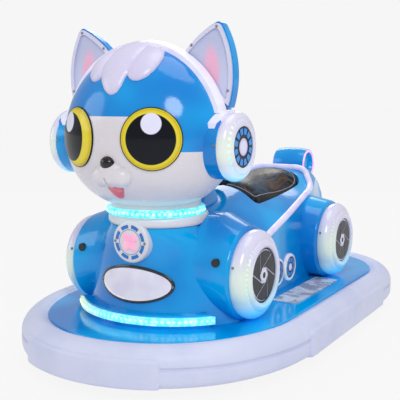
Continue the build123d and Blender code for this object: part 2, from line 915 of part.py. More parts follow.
# --- face -------------------------------------------------------------------------
def eye_plane(side):
    # on the eye's axis, well inside the head, facing out of the face
    turn = math.radians(eye_turn)
    out = (math.sin(turn) * side, -math.cos(turn), 0)
    return Plane((eye_x * side - eye_sink * out[0], eye_y - eye_sink * out[1], eye_z), z_dir=out)


with BuildPart() as eye_rims:
    for name, side in left_right:
        with BuildSketch(eye_plane(side)):
            Circle(eye_radius)
            Circle(eye_radius - eye_rim, mode=Mode.SUBTRACT)
    extrude(amount=2 * eye_sink)
    add(head_form(eye_stand), mode=Mode.INTERSECT)
    add(head_clear, mode=Mode.SUBTRACT)
save(eye_rims, "eye_rims")

with BuildPart() as eye_lenses:
    for name, side in left_right:
        with BuildSketch(eye_plane(side)):
            Circle(eye_radius - eye_rim - seat_gap)
    extrude(amount=2 * eye_sink)
    add(head_form(eye_stand + 2), mode=Mode.INTERSECT)
    add(head_clear, mode=Mode.SUBTRACT)
save(eye_lenses, "eye_lenses")

with BuildPart() as muzzle:
    for name, side in left_right:
        with Locations((muzzle_spread * side, muzzle_y, muzzle_z)):
            Sphere(muzzle_radius)
    add(head_clear, mode=Mode.SUBTRACT)
    with Locations((0, nose_y, nose_z)):
        Sphere(nose_radius + seat_gap, mode=Mode.SUBTRACT)
save(muzzle, "muzzle")

with BuildPart() as nose:
    with Locations((0, nose_y, nose_z)):
        Sphere(nose_radius)
    add(head_clear, mode=Mode.SUBTRACT)
save(nose, "nose")

with BuildPart() as tongue:
    add(head_form(tongue_stand))
    with BuildSketch(Plane.XZ.offset(-head_y)):
        with BuildLine():
            FilletPolyline((-tongue_half_width, tongue_top), (tongue_half_width, tongue_top), (0, tongue_tip),
                           radius=tongue_tip_round, close=True)
        make_face()
    extrude(amount=2 * head_half_width, mode=Mode.INTERSECT)
    add(head_clear, mode=Mode.SUBTRACT)
    add(muzzle.part, mode=Mode.SUBTRACT)
save(tongue, "tongue")

# forelock: each strand stands off the head and covers circles of x, z and radius
forelock_strands = (
    (11, ((-68, 922, 24), (-70, 960, 23), (-20, 1000, 22))),
    (18, ((5, 877, 19), (-4, 914, 40), (-8, 1000, 44))),
    (14, ((62, 930, 27), (88, 940, 26), (80, 968, 28), (20, 1004, 30))),
)
with BuildPart() as hair_tuft:
    for strand_stand, strand_circles in forelock_strands:
        with BuildPart() as strand:
            add(head_form(strand_stand))
            with BuildSketch(Plane.XZ.offset(-head_y)):
                with BuildSketch(mode=Mode.PRIVATE) as outline:
                    for x, z, radius in strand_circles:
                        with Locations((x, z)):
                            Circle(radius)
                    make_hull()
                add(outline.sketch)
            extrude(amount=2 * head_half_width, mode=Mode.INTERSECT)
        add(strand.part)
    add(head_clear, mode=Mode.SUBTRACT)
    with BuildSketch(Plane.XZ.offset(-band_y + band_width / 2 + seat_gap)):
        Rectangle(4 * head_half_width, 4 * head_z)
    extrude(amount=2 * head_half_width, mode=Mode.INTERSECT)
save(hair_tuft, "hair_tuft")

# --- chest trim -------------------------------------------------------------------
with BuildPart() as front_light_strip:
    with BuildSketch(Plane.XY.offset(strip_bottom)):
        with Locations((0, step_centre)):
            Circle(step_radius + strip_thickness)
            Circle(step_radius + seat_gap, mode=Mode.SUBTRACT)
        with Locations((0, strip_back)):
            Rectangle(2 * step_radius + 50, step_radius, align=(Align.CENTER, Align.MAX),
                      mode=Mode.INTERSECT)
    extrude(amount=strip_height)
save(front_light_strip, "front_light_strip")

body_and_neck = body_shell.part + neck_collar.part
with BuildPart() as chest_badge:
    with BuildSketch(Plane.XZ.offset(-badge_y)):
        with Locations((0, badge_z)):
            Circle(badge_radius)
    extrude(amount=-40)
    fillet(chest_badge.edges().sort_by(Axis.Y)[0], radius=8)
    add(body_and_neck, mode=Mode.SUBTRACT)
save(chest_badge, "chest_badge")



def plate_outline(inset):
    # pointed oval of two arcs
    half_width = plate_half_width - inset
    half_height = plate_half_height - inset
    with BuildSketch() as outline:
        with BuildLine():
            ThreePointArc((-half_width, plate_z), (0, plate_z + half_height), (half_width, plate_z))
            ThreePointArc((half_width, plate_z), (0, plate_z - half_height), (-half_width, plate_z))
        make_face()
        fillet(outline.vertices(), radius=plate_end_round)
    return outline.sketch


with BuildPart() as name_plate:
    with BuildSketch(Plane.XZ.offset(-chest_back)):
        add(plate_outline(0))
    extrude(amount=2 * step_radius)
    add(chest_form(plate_stand), mode=Mode.INTERSECT)
    with BuildPart(mode=Mode.PRIVATE) as rim:
        with BuildSketch(Plane.XZ.offset(-chest_back)):
            add(plate_outline(0))
            add(plate_outline(plate_rim), mode=Mode.SUBTRACT)
        extrude(amount=2 * step_radius)
        add(chest_form(plate_stand + 2), mode=Mode.INTERSECT)
    add(rim.part)
    add(chest_form(seat_gap), mode=Mode.SUBTRACT)
save(name_plate, "name_plate")

with BuildPart() as corner_lamps:
    for name, side in left_right:
        with BuildSketch(Plane.XZ.offset(-corner_lamp_y)):
            with Locations((corner_lamp_x * side, corner_lamp_z)):
                Circle(corner_lamp_radius)
    extrude(amount=-corner_lamp_length)
    add(body_shell.part, mode=Mode.SUBTRACT)
save(corner_lamps, "corner_lamps")

# --- foot mats and pedal -------------------------------------------------------------
with BuildPart() as foot_mats:
    with BuildSketch(Plane.XY.offset(deck_top + seat_gap)):
        with Locations((mat_x, mat_y), (-mat_x, mat_y)):
            RectangleRounded(mat_width, mat_length, 14)
    extrude(amount=mat_thickness)
save(foot_mats, "foot_mats")

pedal_base = deck_top + mat_thickness + 2 * seat_gap
with BuildPart() as throttle_pedal:
    with BuildSketch(Plane.YZ.offset(-mat_x - pedal_width / 2)):
        with BuildLine():
            Polyline((pedal_y - 60, pedal_base), (pedal_y + 50, pedal_base), (pedal_y + 50, pedal_base + 10),
                     (pedal_y - 50, pedal_base + 48), (pedal_y - 60, pedal_base + 48), close=True)
        make_face()
    extrude(amount=pedal_width)
save(throttle_pedal, "throttle_pedal")

# --- steering -------------------------------------------------------------------------
lean = math.radians(wheel_lean)
wheel_axis = Vector(0, math.sin(lean), math.cos(lean))
wheel_centre = Vector(0, wheel_y, wheel_z)


def wheel_plane(distance):
    # square to the steering axis, this far from the wheel towards the rider
    return Plane(wheel_centre + wheel_axis * distance, x_dir=(1, 0, 0), z_dir=wheel_axis)


with BuildPart() as steering_wheel:
    with BuildSketch(Plane(wheel_centre, x_dir=(1, 0, 0), z_dir=Vector(1, 0, 0).cross(wheel_axis))):
        with Locations((wheel_radius, 0)):
            Circle(wheel_rim)
    revolve(axis=Axis(wheel_centre, wheel_axis))
    with BuildSketch(wheel_plane(-20)):
        Circle(wheel_hub)
    extrude(amount=32)
    with BuildSketch(wheel_plane(-spoke_thickness / 2)):
        with PolarLocations(0, 3, start_angle=90):
            Rectangle(wheel_radius, spoke_width, align=(Align.MIN, Align.CENTER))
    extrude(amount=spoke_thickness)
    with BuildSketch(wheel_plane(-20 - shaft_length)):
        Circle(shaft_radius)
    extrude(amount=shaft_length + 2)
save(steering_wheel, "steering_wheel")

with BuildPart() as steering_column:
    with BuildSketch(wheel_plane(-column_length)):
        Circle(column_radius)
    extrude(amount=column_length - 20 - 1)
    with BuildSketch(wheel_plane(-20 - shaft_length - 5)):
        Circle(shaft_radius + 0.1)
    extrude(amount=column_length, mode=Mode.SUBTRACT)
save(steering_column, "steering_column")

face_point = wheel_centre - wheel_axis * (column_length + seat_gap)
face_up = Vector(0, -math.cos(lean), math.sin(lean))
face_low = face_point - face_up * console_low
face_high = face_point + face_up * console_high
with BuildPart() as dash_console:
    with BuildSketch(Plane.YZ.offset(-console_width / 2)):
        with BuildLine():
            Polyline((face_low.Y, face_low.Z), (face_high.Y, face_high.Z), (face_high.Y - 22, face_high.Z - 8),
                     (face_high.Y - 50, console_foot), (face_low.Y + 12, console_foot), close=True)
        make_face()
    extrude(amount=console_width)
    sides = dash_console.edges().filter_by(GeomType.LINE).filter_by(Axis.X, reverse=True)
    fillet(sides.sort_by(Axis.Z)[-6:], radius=12)
    add(body_and_neck, mode=Mode.SUBTRACT)
    add(head_clear, mode=Mode.SUBTRACT)
save(dash_console, "dash_console")

# --- steel frame, battery and rear axle ------------------------------------------------
rail_top = deck_top - deck_plate - seat_gap
rail_bottom = rail_top - rail_section
cross_rows = (-620, -250, 150, 620)
outrigger_rows = (-250, 150)
outrigger_length = 2 * (deck_half_width - deck_skirt - 4)
bearing_bottom = fork_crown + fork_plate + 4
beam_height = 214
beam_plate = 12
hanger_thickness = 12

with BuildPart() as chassis_frame:
    # side rails and cross members of square tube, outriggers to the deck's sides
    with BuildSketch(Plane.XY.offset(rail_bottom)):
        with Locations((-rail_x, (rail_front + rail_rear) / 2), (rail_x, (rail_front + rail_rear) / 2)):
            Rectangle(rail_section, rail_rear - rail_front)
        for row_y in cross_rows:
            with Locations((0, row_y)):
                Rectangle(2 * rail_x, rail_section)
        for row_y in outrigger_rows:
            with Locations((0, row_y)):
                Rectangle(outrigger_length, rail_section)
        with Locations((0, bolt_centre_y)):
            with GridLocations(2 * rail_x, bolt_spacing_y, 2, 2):
                Circle(bolt_radius, mode=Mode.SUBTRACT)
    extrude(amount=rail_section)
    # tower over the drive wheel with the kingpin bearing
    with BuildSketch(Plane.XY.offset(rail_top)):
        with Locations((-rail_x, drive_y), (rail_x, drive_y)):
            Rectangle(rail_section, 2 * rail_section)
    extrude(amount=beam_height - rail_top)
    with BuildSketch(Plane.XY.offset(beam_height)):
        with Locations((0, drive_y)):
            Rectangle(tower_width, 2 * rail_section)
    extrude(amount=beam_plate)
    with BuildSketch(Plane.XY.offset(bearing_bottom)):
        with Locations((0, drive_y)):
            Circle(kingpin_radius + 10)
    extrude(amount=bearing_top - bearing_bottom)
    with BuildSketch(Plane.XY.offset(bearing_bottom)):
        with Locations((0, drive_y)):
            Circle(kingpin_radius + 0.1)
    extrude(amount=bearing_top - bearing_bottom, mode=Mode.SUBTRACT)
    # hangers that hold the rear axle under the rails
    for name, side in left_right:
        with BuildSketch(Plane.YZ.offset(rail_x * side - hanger_thickness / 2)):
            with Locations((rear_axle_y, rear_wheel_radius)):
                Circle(2 * axle_radius)
            with Locations((rear_axle_y, rear_wheel_radius)):
                Rectangle(4 * axle_radius, rail_top - rear_wheel_radius, align=(Align.CENTER, Align.MIN))
            with Locations((rear_axle_y, rear_wheel_radius)):
                Circle(axle_radius + 0.1, mode=Mode.SUBTRACT)
        extrude(amount=hanger_thickness)
save(chassis_frame, "chassis_frame")

with BuildPart() as battery_pack:
    with BuildSketch(Plane.XY.offset(deck_top + seat_gap)):
        with Locations((0, battery_y)):
            RectangleRounded(battery_size[0], battery_size[1], 6)
    extrude(amount=battery_size[2])
save(battery_pack, "battery_pack")

with BuildPart() as rear_axle:
    with BuildSketch(Plane.YZ.offset(-rear_wheel_x - rear_wheel_width / 2 - 12)):
        with Locations((rear_axle_y, rear_wheel_radius)):
            Circle(axle_radius)
    extrude(amount=2 * rear_wheel_x + rear_wheel_width + 24)
save(rear_axle, "rear_axle")

# --- wheels --------------------------------------------------------------------------
def wheel_rim_form(centre, radius, width, bore, flange):
    # disc wheel with a hub, a thin web and a rim band; its bore may be zero
    x, y, z = centre
    half = width / 2
    with BuildPart() as rim:
        with BuildSketch(side_plane(y, z)):
            with Locations((x, 0)):
                Rectangle(width, flange, align=(Align.CENTER, Align.MIN))
                Rectangle(10, radius, align=(Align.CENTER, Align.MIN))
            with Locations((x, radius)):
                Rectangle(width, 8, align=(Align.CENTER, Align.MAX))
            with Locations((x, 0)):
                Rectangle(2 * width, bore, align=(Align.CENTER, Align.MIN), mode=Mode.SUBTRACT)
        revolve(axis=x_axis(y, z))
    return rim.part


def tyre_form(centre, radius, width, rim_radius):
    x, y, z = centre
    with BuildPart() as tyre:
        with BuildSketch(side_plane(y, z)):
            with Locations((x, (radius + rim_radius) / 2)):
                RectangleRounded(width, radius - rim_radius, 7)
        revolve(axis=x_axis(y, z))
    return tyre.part


for name, side in left_right:
    centre = (rear_wheel_x * side, rear_axle_y, rear_wheel_radius)
    with BuildPart() as rear_rim:
        add(wheel_rim_form(centre, rear_rim_radius, rear_wheel_width, axle_radius + 0.1, axle_radius + 8))
    save(rear_rim, f"rear_rim_{name}")
    with BuildPart() as rear_tyre:
        add(tyre_form(centre, rear_wheel_radius, rear_wheel_width, rear_rim_radius + 0.1))
    save(rear_tyre, f"rear_tyre_{name}")

drive_centre = (0, drive_y, drive_radius)
leg_inner = drive_width / 2 + fork_gap
with BuildPart() as drive_fork:
    with BuildSketch(Plane.XY.offset(fork_crown)):
        with Locations((0, drive_y)):
            Rectangle(2 * (leg_inner + fork_leg), fork_depth)
    extrude(amount=fork_plate)
    for name, side in left_right:
        with BuildSketch(Plane.YZ.offset(leg_inner * side)):
            with Locations((drive_y, drive_radius)):
                Circle(20)
            with Locations((drive_y, drive_radius)):
                Rectangle(40, fork_crown + fork_plate - drive_radius, align=(Align.CENTER, Align.MIN))
        extrude(amount=fork_leg * side)
    with BuildSketch(Plane.YZ.offset(-leg_inner - fork_leg)):
        with Locations((drive_y, drive_radius)):
            Circle(axle_radius + 0.1)
    extrude(amount=2 * (leg_inner + fork_leg), mode=Mode.SUBTRACT)
    with BuildSketch(Plane.XY.offset(fork_crown + fork_plate)):
        with Locations((0, drive_y)):
            Circle(kingpin_radius)
    extrude(amount=bearing_top + 4 - fork_crown - fork_plate)
save(drive_fork, "drive_fork")

with BuildPart() as drive_wheel_rim:
    add(wheel_rim_form(drive_centre, drive_rim_radius, drive_width, 0, drive_rim_radius - 14))
    with BuildSketch(Plane.YZ.offset(-leg_inner - fork_leg - 6)):
        with Locations((drive_y, drive_radius)):
            Circle(axle_radius)
    extrude(amount=2 * (leg_inner + fork_leg + 6))
save(drive_wheel_rim, "drive_wheel_rim")

with BuildPart() as drive_wheel_tyre:
    add(tyre_form(drive_centre, drive_radius, drive_width, drive_rim_radius + 0.1))
save(drive_wheel_tyre, "drive_wheel_tyre")
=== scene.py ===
import bpy, bmesh, json, math
from mathutils import Matrix, Vector
from mathutils.bvhtree import BVHTree
from mathutils.kdtree import KDTree

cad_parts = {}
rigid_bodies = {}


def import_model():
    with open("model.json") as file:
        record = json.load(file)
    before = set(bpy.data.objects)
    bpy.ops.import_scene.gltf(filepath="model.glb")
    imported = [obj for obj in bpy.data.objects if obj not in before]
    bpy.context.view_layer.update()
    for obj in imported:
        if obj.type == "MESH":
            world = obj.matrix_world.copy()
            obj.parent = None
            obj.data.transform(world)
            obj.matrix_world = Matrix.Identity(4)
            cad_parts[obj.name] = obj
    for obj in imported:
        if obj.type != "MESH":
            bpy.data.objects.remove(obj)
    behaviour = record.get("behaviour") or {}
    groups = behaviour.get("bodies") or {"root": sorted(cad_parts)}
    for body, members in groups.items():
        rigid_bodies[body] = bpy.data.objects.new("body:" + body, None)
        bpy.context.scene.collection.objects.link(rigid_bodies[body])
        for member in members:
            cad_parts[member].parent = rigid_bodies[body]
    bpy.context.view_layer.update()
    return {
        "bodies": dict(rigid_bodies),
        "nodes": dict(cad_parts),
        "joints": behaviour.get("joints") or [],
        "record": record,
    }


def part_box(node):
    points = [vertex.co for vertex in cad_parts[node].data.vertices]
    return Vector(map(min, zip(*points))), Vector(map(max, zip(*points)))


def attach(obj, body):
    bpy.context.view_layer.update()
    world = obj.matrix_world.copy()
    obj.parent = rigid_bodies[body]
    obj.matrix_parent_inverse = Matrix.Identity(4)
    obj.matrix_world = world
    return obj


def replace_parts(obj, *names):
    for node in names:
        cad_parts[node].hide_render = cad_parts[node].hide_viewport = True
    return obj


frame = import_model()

nodes = frame["nodes"]
scene = bpy.context.scene


def plainMesh(points, faces=(), edges=()):
    mesh = bpy.data.meshes.new("shape")
    mesh.from_pydata(points, edges, faces)
    return mesh


def linked(name, data):
    made = bpy.data.objects.new(name, data)
    scene.collection.objects.link(made)
    return made


def linear(colour):
    # sRGB hex to the linear values that shaders take
    parts = [int(colour.lstrip("#")[i:i + 2], 16) / 255 for i in (0, 2, 4)]
    return tuple(c / 12.92 if c <= 0.04045 else ((c + 0.055) / 1.055) ** 2.4 for c in parts) + (1.0,)


def addNode(tree, kind, inputs=None, **settings):
    # one node with its settings; each input gets a value, a hex colour or the socket that feeds it
    made = tree.nodes.new(kind)
    for name, value in settings.items():
        setattr(made, name, value)
    for socket, value in (inputs or {}).items():
        value = getattr(value, "socket", value)
        if isinstance(value, bpy.types.NodeSocket):
            tree.links.new(value, made.inputs[socket])
        else:
            isColour = isinstance(value, str) and value.startswith("#")
            made.inputs[socket].default_value = linear(value) if isColour else value
    return made


class Value:
    # a value in a node tree; sums with numbers or other values add maths nodes
    def __init__(self, tree, socket):
        self.tree, self.socket = tree, socket

    def maths(self, kind, *others):
        sums = addNode(self.tree, "ShaderNodeMath", dict(enumerate((self, *others))), operation=kind)
        return Value(self.tree, sums.outputs[0])

    def step(self, low, high):  # 0 below low, 1 above high
        eased = addNode(self.tree, "ShaderNodeMapRange", {0: self, 1: low, 2: high}, interpolation_type="SMOOTHSTEP")
        return Value(self.tree, eased.outputs[0])

    def between(self, low, high):  # 0 to 1 becomes low to high
        return Value(self.tree, addNode(self.tree, "ShaderNodeMapRange", {0: self, 3: low, 4: high}).outputs[0])


for way, kind in (("add", "ADD"), ("sub", "SUBTRACT"), ("mul", "MULTIPLY"), ("truediv", "DIVIDE"),
                  ("gt", "GREATER_THAN"), ("lt", "LESS_THAN"), ("abs", "ABSOLUTE")):
    setattr(Value, f"__{way}__", lambda self, *other, kind=kind: self.maths(kind, *other))


def far(side, rise):
    # how long the way is that goes so far sideways and so far up
    return (side * side + rise * rise).maths("SQRT")


class Finish:
    # a material while it is mixed; x, y and z are the place on the piece in metres
    def __init__(self, name, colour, **fixed):
        self.material = bpy.data.materials.new(name)
        self.material.use_nodes = True
        self.tree = self.material.node_tree
        self.shader = self.tree.nodes["Principled BSDF"]
        for socket, value in {"Base_Color": linear(colour), **fixed}.items():
            self.shader.inputs[socket.replace("_", " ")].default_value = value
        self.place = self.made("TexCoord", {}, "Object")
        axes = addNode(self.tree, "ShaderNodeSeparateXYZ", {0: self.place}).outputs
        self.x, self.y, self.z = (Value(self.tree, axis) for axis in axes)

    def made(self, kind, inputs, output=0, **settings):
        return Value(self.tree, addNode(self.tree, "ShaderNode" + kind, inputs, **settings).outputs[output])

    def mix(self, share, first, second):
        return self.made("Mix", {0: share, 6: first, 7: second}, 2, data_type="RGBA")

    def mapped(self, scale, turn=(0, 0, 0)):
        return self.made("Mapping", {"Vector": self.place, "Scale": scale, "Rotation": turn})

    def noise(self, scale, detail=2, place=None, **more):
        where = place or self.place
        return self.made("TexNoise", {"Vector": where, "Scale": scale, "Detail": detail, **more})

    def cells(self, scale):
        return self.made("TexVoronoi", {"Vector": self.place, "Scale": scale})

    def bump(self, height, strength, distance, **under):
        return self.made("Bump", {"Height": height, "Strength": strength, "Distance": distance, **under})

    def ramp(self, value, stops):
        ramp = addNode(self.tree, "ShaderNodeValToRGB", {0: value})
        elements = ramp.color_ramp.elements
        for element, (position, colour) in zip(elements, (stops[0], stops[-1])):
            element.position, element.color = position, linear(colour)
        for position, colour in stops[1:-1]:
            elements.new(position).color = linear(colour)
        return Value(self.tree, ramp.outputs[0])

    def fed(self, **sockets):
        for name, value in sockets.items():
            self.tree.links.new(value.socket, self.shader.inputs[name.replace("_", " ")])
        return self.material


# camera, floor and lights
cameraValues = {"place": (1.3846, -2.5442, 0.8485), "forward": (-0.49479, 0.85953, -0.12804),
                "lens": 70.19, "shift": (-0.0104, -0.0048)}
lightValues = {"key": 56, "fill": 22, "rim": 26, "top": 30, "room": 0.55, "paper": "#f6f6f6",
               "floor": "#f8f8f8", "floorGlow": 0.95, "floorHalf": 60}

camera = linked("camera", bpy.data.cameras.new("camera"))
camera.location = cameraValues["place"]
camera.rotation_euler = Vector(cameraValues["forward"]).to_track_quat("-Z", "Y").to_euler()
camera.data.lens = cameraValues["lens"]
camera.data.sensor_width = 36
camera.data.shift_x, camera.data.shift_y = cameraValues["shift"]
camera.data.clip_start = 0.05
scene.camera = camera
scene.view_settings.view_transform = "Standard"


def litPaper(tree, plain, colour, otherRay, share, output):
    # the camera and one other kind of ray see even white paper, and the rest meet the plain finish
    rays = addNode(tree, "ShaderNodeLightPath").outputs
    seen = Value(tree, rays["Is Camera Ray"]).maths("MAXIMUM", rays[otherRay]) * share
    kind = "Background" if output == "World Output" else "Emission"
    glow = addNode(tree, "ShaderNode" + kind, {"Color": colour, "Strength": 1.0})
    both = addNode(tree, "ShaderNodeMixShader", {0: seen, 1: plain.outputs[0], 2: glow.outputs[0]})
    tree.links.new(both.outputs[0], tree.nodes[output].inputs["Surface"])


half = lightValues["floorHalf"]
corners = [(-half, -half, 0), (half, -half, 0), (half, half, 0), (-half, half, 0)]
studioFloor = linked("studioFloor", plainMesh(corners, [(0, 1, 2, 3)]))
f = Finish("mattePaperBackdrop", lightValues["floor"], Roughness=0.9, Specular_IOR_Level=0.1)
litPaper(f.tree, f.shader, lightValues["floor"], "Is Glossy Ray", lightValues["floorGlow"], "Material Output")
studioFloor.data.materials.append(f.material)

world = bpy.data.worlds.new("studioRoom")
world.use_nodes = True
scene.world = world
room = world.node_tree.nodes["Background"]
room.inputs["Color"].default_value = linear("#ffffff")
room.inputs["Strength"].default_value = lightValues["room"]
litPaper(world.node_tree, room, lightValues["paper"], "Is Transmission Ray", 1.0, "World Output")

lamps = (
    ("key", (2.4, -2.8, 3.0), (0, 0, 0.55), 1.6),
    ("fill", (-3.4, -2.4, 2.0), (0, 0, 0.5), 2.2),
    ("rim", (-1.6, 3.4, 2.8), (0, 0, 0.6), 2.0),
    ("top", (0.6, 0.2, 3.8), (0, 0, 0), 2.4),
)
for name, place, target, size in lamps:
    lamp = linked(name, bpy.data.lights.new(name, "AREA"))
    lamp.location = place
    lamp.rotation_euler = (Vector(target) - Vector(place)).to_track_quat("-Z", "Y").to_euler()
    lamp.data.shape = "DISK"
    lamp.data.size = size
    lamp.data.energy = lightValues[name]
print("camera, floor and lights are set")


# finishes
def gelcoat(name, deep, lit, rough=0.06, brow=None):
    # polished gelcoat on glass fibre: a wet-looking skin in long soft waves over painted shade and light, the shaded
    # (deep) colour and the lit colour mixed in broad soft patches
    f = Finish(name, deep, IOR=1.48)
    # painted shade and light: patches about 30 cm across run from the shaded colour to the lit one
    tint = f.mix(f.noise(3.2).step(0.35, 0.65), deep, lit)
    if brow:  # the pale paint of the face runs up to a straight line between the eyes
        under = (f.z < brow["height"]) * (abs(f.x) < brow["reach"]) * (f.y < brow["front"])
        tint = f.mix(under, tint, brow["colour"])
    wipe = f.noise(42, 4, Roughness=0.65)
    long = f.bump(f.noise(16, 1), 0.12, 0.004)  # 60 mm waves
    fine = f.bump(f.noise(260), 0.05, 0.0004, Normal=long)  # 4 mm peel
    return f.fed(Base_Color=tint, Roughness=wipe.between(rough, rough + 0.12), Normal=fine)


def mouldedAbs(name, colour, worn, rough, grain, bump):
    # injection-moulded ABS: even colour with a fine spark-eroded grain and slightly paler rubbed spots
    f = Finish(name, colour, IOR=1.53)
    rub = f.noise(30, 5, Roughness=0.6)
    return f.fed(Base_Color=f.mix(rub.step(0.5, 0.75), colour, worn), Roughness=rub.between(rough, rough + 0.15),
                 Normal=f.bump(f.noise(1 / grain), bump, 0.0004))


def softPvc(name, colour, shade):
    # dipped soft PVC skin: satin, milky, with faint long creases, scuffs and a leathery grain
    f = Finish(name, colour, IOR=1.5, Subsurface_Weight=0.08, Subsurface_Scale=0.01, Subsurface_Radius=(1.0, 0.9, 1.0))
    tint = f.mix(f.noise(5, 5, Roughness=0.55).step(0.4, 0.7), colour, shade)
    scuff = f.noise(26, 8, f.mapped((1, 1, 9)), Roughness=0.7)
    tint = f.mix(scuff.step(0.66, 0.8) * 0.35, tint, "#a9abc4")
    crease = f.noise(14, 3, f.mapped((1, 1, 3)), Distortion=0.4)
    fine = f.bump(f.cells(420), 0.10, 0.0006, Normal=f.bump(crease, 0.25, 0.006))  # 2.4 mm cells over the creases
    return f.fed(Base_Color=tint, Roughness=scuff.between(0.34, 0.56), Normal=fine)


def fromMiddle(f, lamp):
    # the way to a point from the middle of its lamp, front or rear, and how far that is
    middle = (f.y > lamp["split"]) * (lamp["rear"] - lamp["front"]) + lamp["front"]
    y, z = f.y - middle, f.z - lamp["z"]
    return y, z, far(y, z)


def opalLamp(name, lamp, radius, beadRadius, beadTurn, stops, beadShare):
    # opal acrylic over a strip of light beads: milky, lit cyan at the foot and yellow-green at the front
    f = Finish(name, "#dcdcf0", Roughness=0.22, IOR=1.49, Coat_Weight=0.6, Coat_Roughness=0.05,
               Subsurface_Weight=0.15, Subsurface_Scale=0.02, Emission_Strength=0.45)
    y, z, reach = fromMiddle(f, lamp)
    height, pitch = z / radius, math.radians(beadTurn)
    glow = f.ramp(f.made("MapRange", {0: height, 1: -1.0, 2: 1.0}), (*stops, (1.0, "#dedcf2")))
    # beads seen through the front half of the cover
    along = ((z.maths("ARCTAN2", y) / pitch + 500).maths("FRACT") - 0.5) * (pitch * beadRadius)
    front = (y / -radius).step(0.35, 0.75)
    lit = far(along, reach - beadRadius).step(0.0075, 0.001) * front * beadShare
    warm = f.mix(height.step(-0.55, 0.25), "#74f0ff", "#e6ffc0")
    halo = abs(height + 0.05).step(0.7, 0.1) * 0.35 * front
    light = f.mix(lit, f.mix(halo, glow, "#dff8b8"), warm)
    # only the foot and the beads give light of their own
    own = (height.step(-0.3, -1.0) * 0.8).maths("MAXIMUM", lit.maths("MAXIMUM", halo * 0.6))
    return f.fed(Base_Color=light, Emission_Color=f.mix(own, "#3a3a44", light),
                 Normal=f.bump(f.noise(40), 0.06, 0.001))


def lightGuide(name, colour, edge, strength, yoke=None):
    # extruded silicone light guide: soft even glow, a little deeper where it turns away
    f = Finish(name, colour, Roughness=0.35, Coat_Weight=0.3, Emission_Strength=strength)
    tint = f.mix(f.noise(18, 3).step(0.35, 0.7), colour, edge)
    if yoke:  # over each cup the band ends in a slanting line, and the drum's own colour shows below it
        out = abs(f.x)
        down = abs(f.y - cupLamp["front"]).maths("ARCTAN2", f.z - cupLamp["z"])
        limit = f.made("MapRange", {0: out, 1: yoke["from"], 2: yoke["to"], 3: math.radians(
            yoke["inner"]), 4: math.radians(yoke["outer"])})
        tint = f.mix((down > limit) * (out > yoke["from"] - 0.001), tint, yoke["colour"])
    return f.fed(Base_Color=tint, Emission_Color=tint, Normal=f.bump(f.noise(300), 0.08, 0.0004))


def ledStrip(name, fromX, toX, warmEnd, coolEnd, strength):
    # light beads under clear silicone: saturated and bright, warm at one end where the strip fades over
    f = Finish(name, coolEnd, Roughness=0.2, Coat_Weight=0.5, Emission_Strength=strength)
    tint = f.mix(f.noise(60).step(0.4, 0.7) * 0.35, f.mix(f.x.step(fromX, toX), warmEnd, coolEnd), "#ffffff")
    return f.fed(Base_Color=tint, Emission_Color=tint)


def rimDisc(name, lamp, radius, raisedX, bands):
    # glossy printed ABS disc: low ground, raised pads and hub in colours that change with the radius; where bands give
    # a glow, the disc also shines faintly in its own colours, a painted glow
    f = Finish(name, "#101018", Roughness=0.28, IOR=1.46, Specular_IOR_Level=0.3,
               Emission_Strength=bands.get("glow", 0.0))
    y, z, reach = fromMiddle(f, lamp)
    reach = reach / radius
    levels = []
    for (share, colour), *outer in (bands["ground"], bands["raised"]):
        for share, further in outer:
            colour = f.mix(reach > share, colour, further)
        levels.append(colour)
    ground, raised = levels
    if "pads" in bands:  # the dark ground shows as wide gaps between the printed pads
        turn = (z.maths("ARCTAN2", y) * (bands["pads"] / (2 * math.pi)) + 500).maths("FRACT")
        gap = (abs(turn - 0.5) > bands["padShare"]) * (reach > bands["raised"][-1][0])
        raised = f.mix(gap, raised, bands["gap"])
    tint = f.mix(abs(f.x) > raisedX, ground, raised)
    tint = f.mix(f.noise(90, 5).step(0.5, 0.8) * 0.12, tint, "#8f93a8")  # a little dust
    return f.fed(Base_Color=tint, Emission_Color=tint)


def metal(name, colour, rough, stretch):
    # steel with a drawn or rolled grain that stretches its highlights
    f = Finish(name, colour, Metallic=1.0)
    grain = f.noise(90, 6, f.mapped(stretch))
    return f.fed(Roughness=grain.between(rough, rough + 0.25), Normal=f.bump(grain, 0.1, 0.0003))


# middles of the round lamps; a point with y above split belongs to the rear one of a pair
wheelLamp = {"split": 0.0, "front": -0.369, "rear": 0.342, "z": 0.294}
cupLamp = {"split": 5.0, "front": -0.487, "rear": -0.487, "z": 0.703}
pipeLamp = {"split": 0.0, "front": -0.052, "rear": 0.052, "z": 0.230}

# each gelcoat takes its shaded colour and then its lit colour; they are mixed in patches as painted shade and light
bodyBlueShadedAndLit = ("#0080d4", "#00a9ee")
blueGelcoat = gelcoat("polishedBlueGelcoat", *bodyBlueShadedAndLit)
capGelcoat = gelcoat("polishedBlueCapGelcoat", *bodyBlueShadedAndLit,
                     brow={"height": 0.7935, "reach": 0.12, "front": -0.6, "colour": "#ddd9e2"})
whiteGelcoat = gelcoat("polishedWhiteGelcoat", "#dbd6dd", "#e1dde4", 0.2)
pearlGelcoat = gelcoat("pearlLavenderGelcoat", "#cfcae8", "#dad6f0", 0.2)
bumperPvc = softPvc("dippedLavenderPvc", "#d5d9f2", "#cbd1ee")
blackAbs = mouldedAbs("pianoBlackAbs", "#0c0c0f", "#1c1c22", 0.1, 0.0012, 0.05)
grainedAbs = mouldedAbs("grainedBlackAbs", "#17171a", "#2c2c30", 0.45, 0.0012, 0.35)
tongueVinyl = mouldedAbs("pinkMouldedVinyl", "#e2707f", "#f0a0a8", 0.3, 0.002, 0.1)
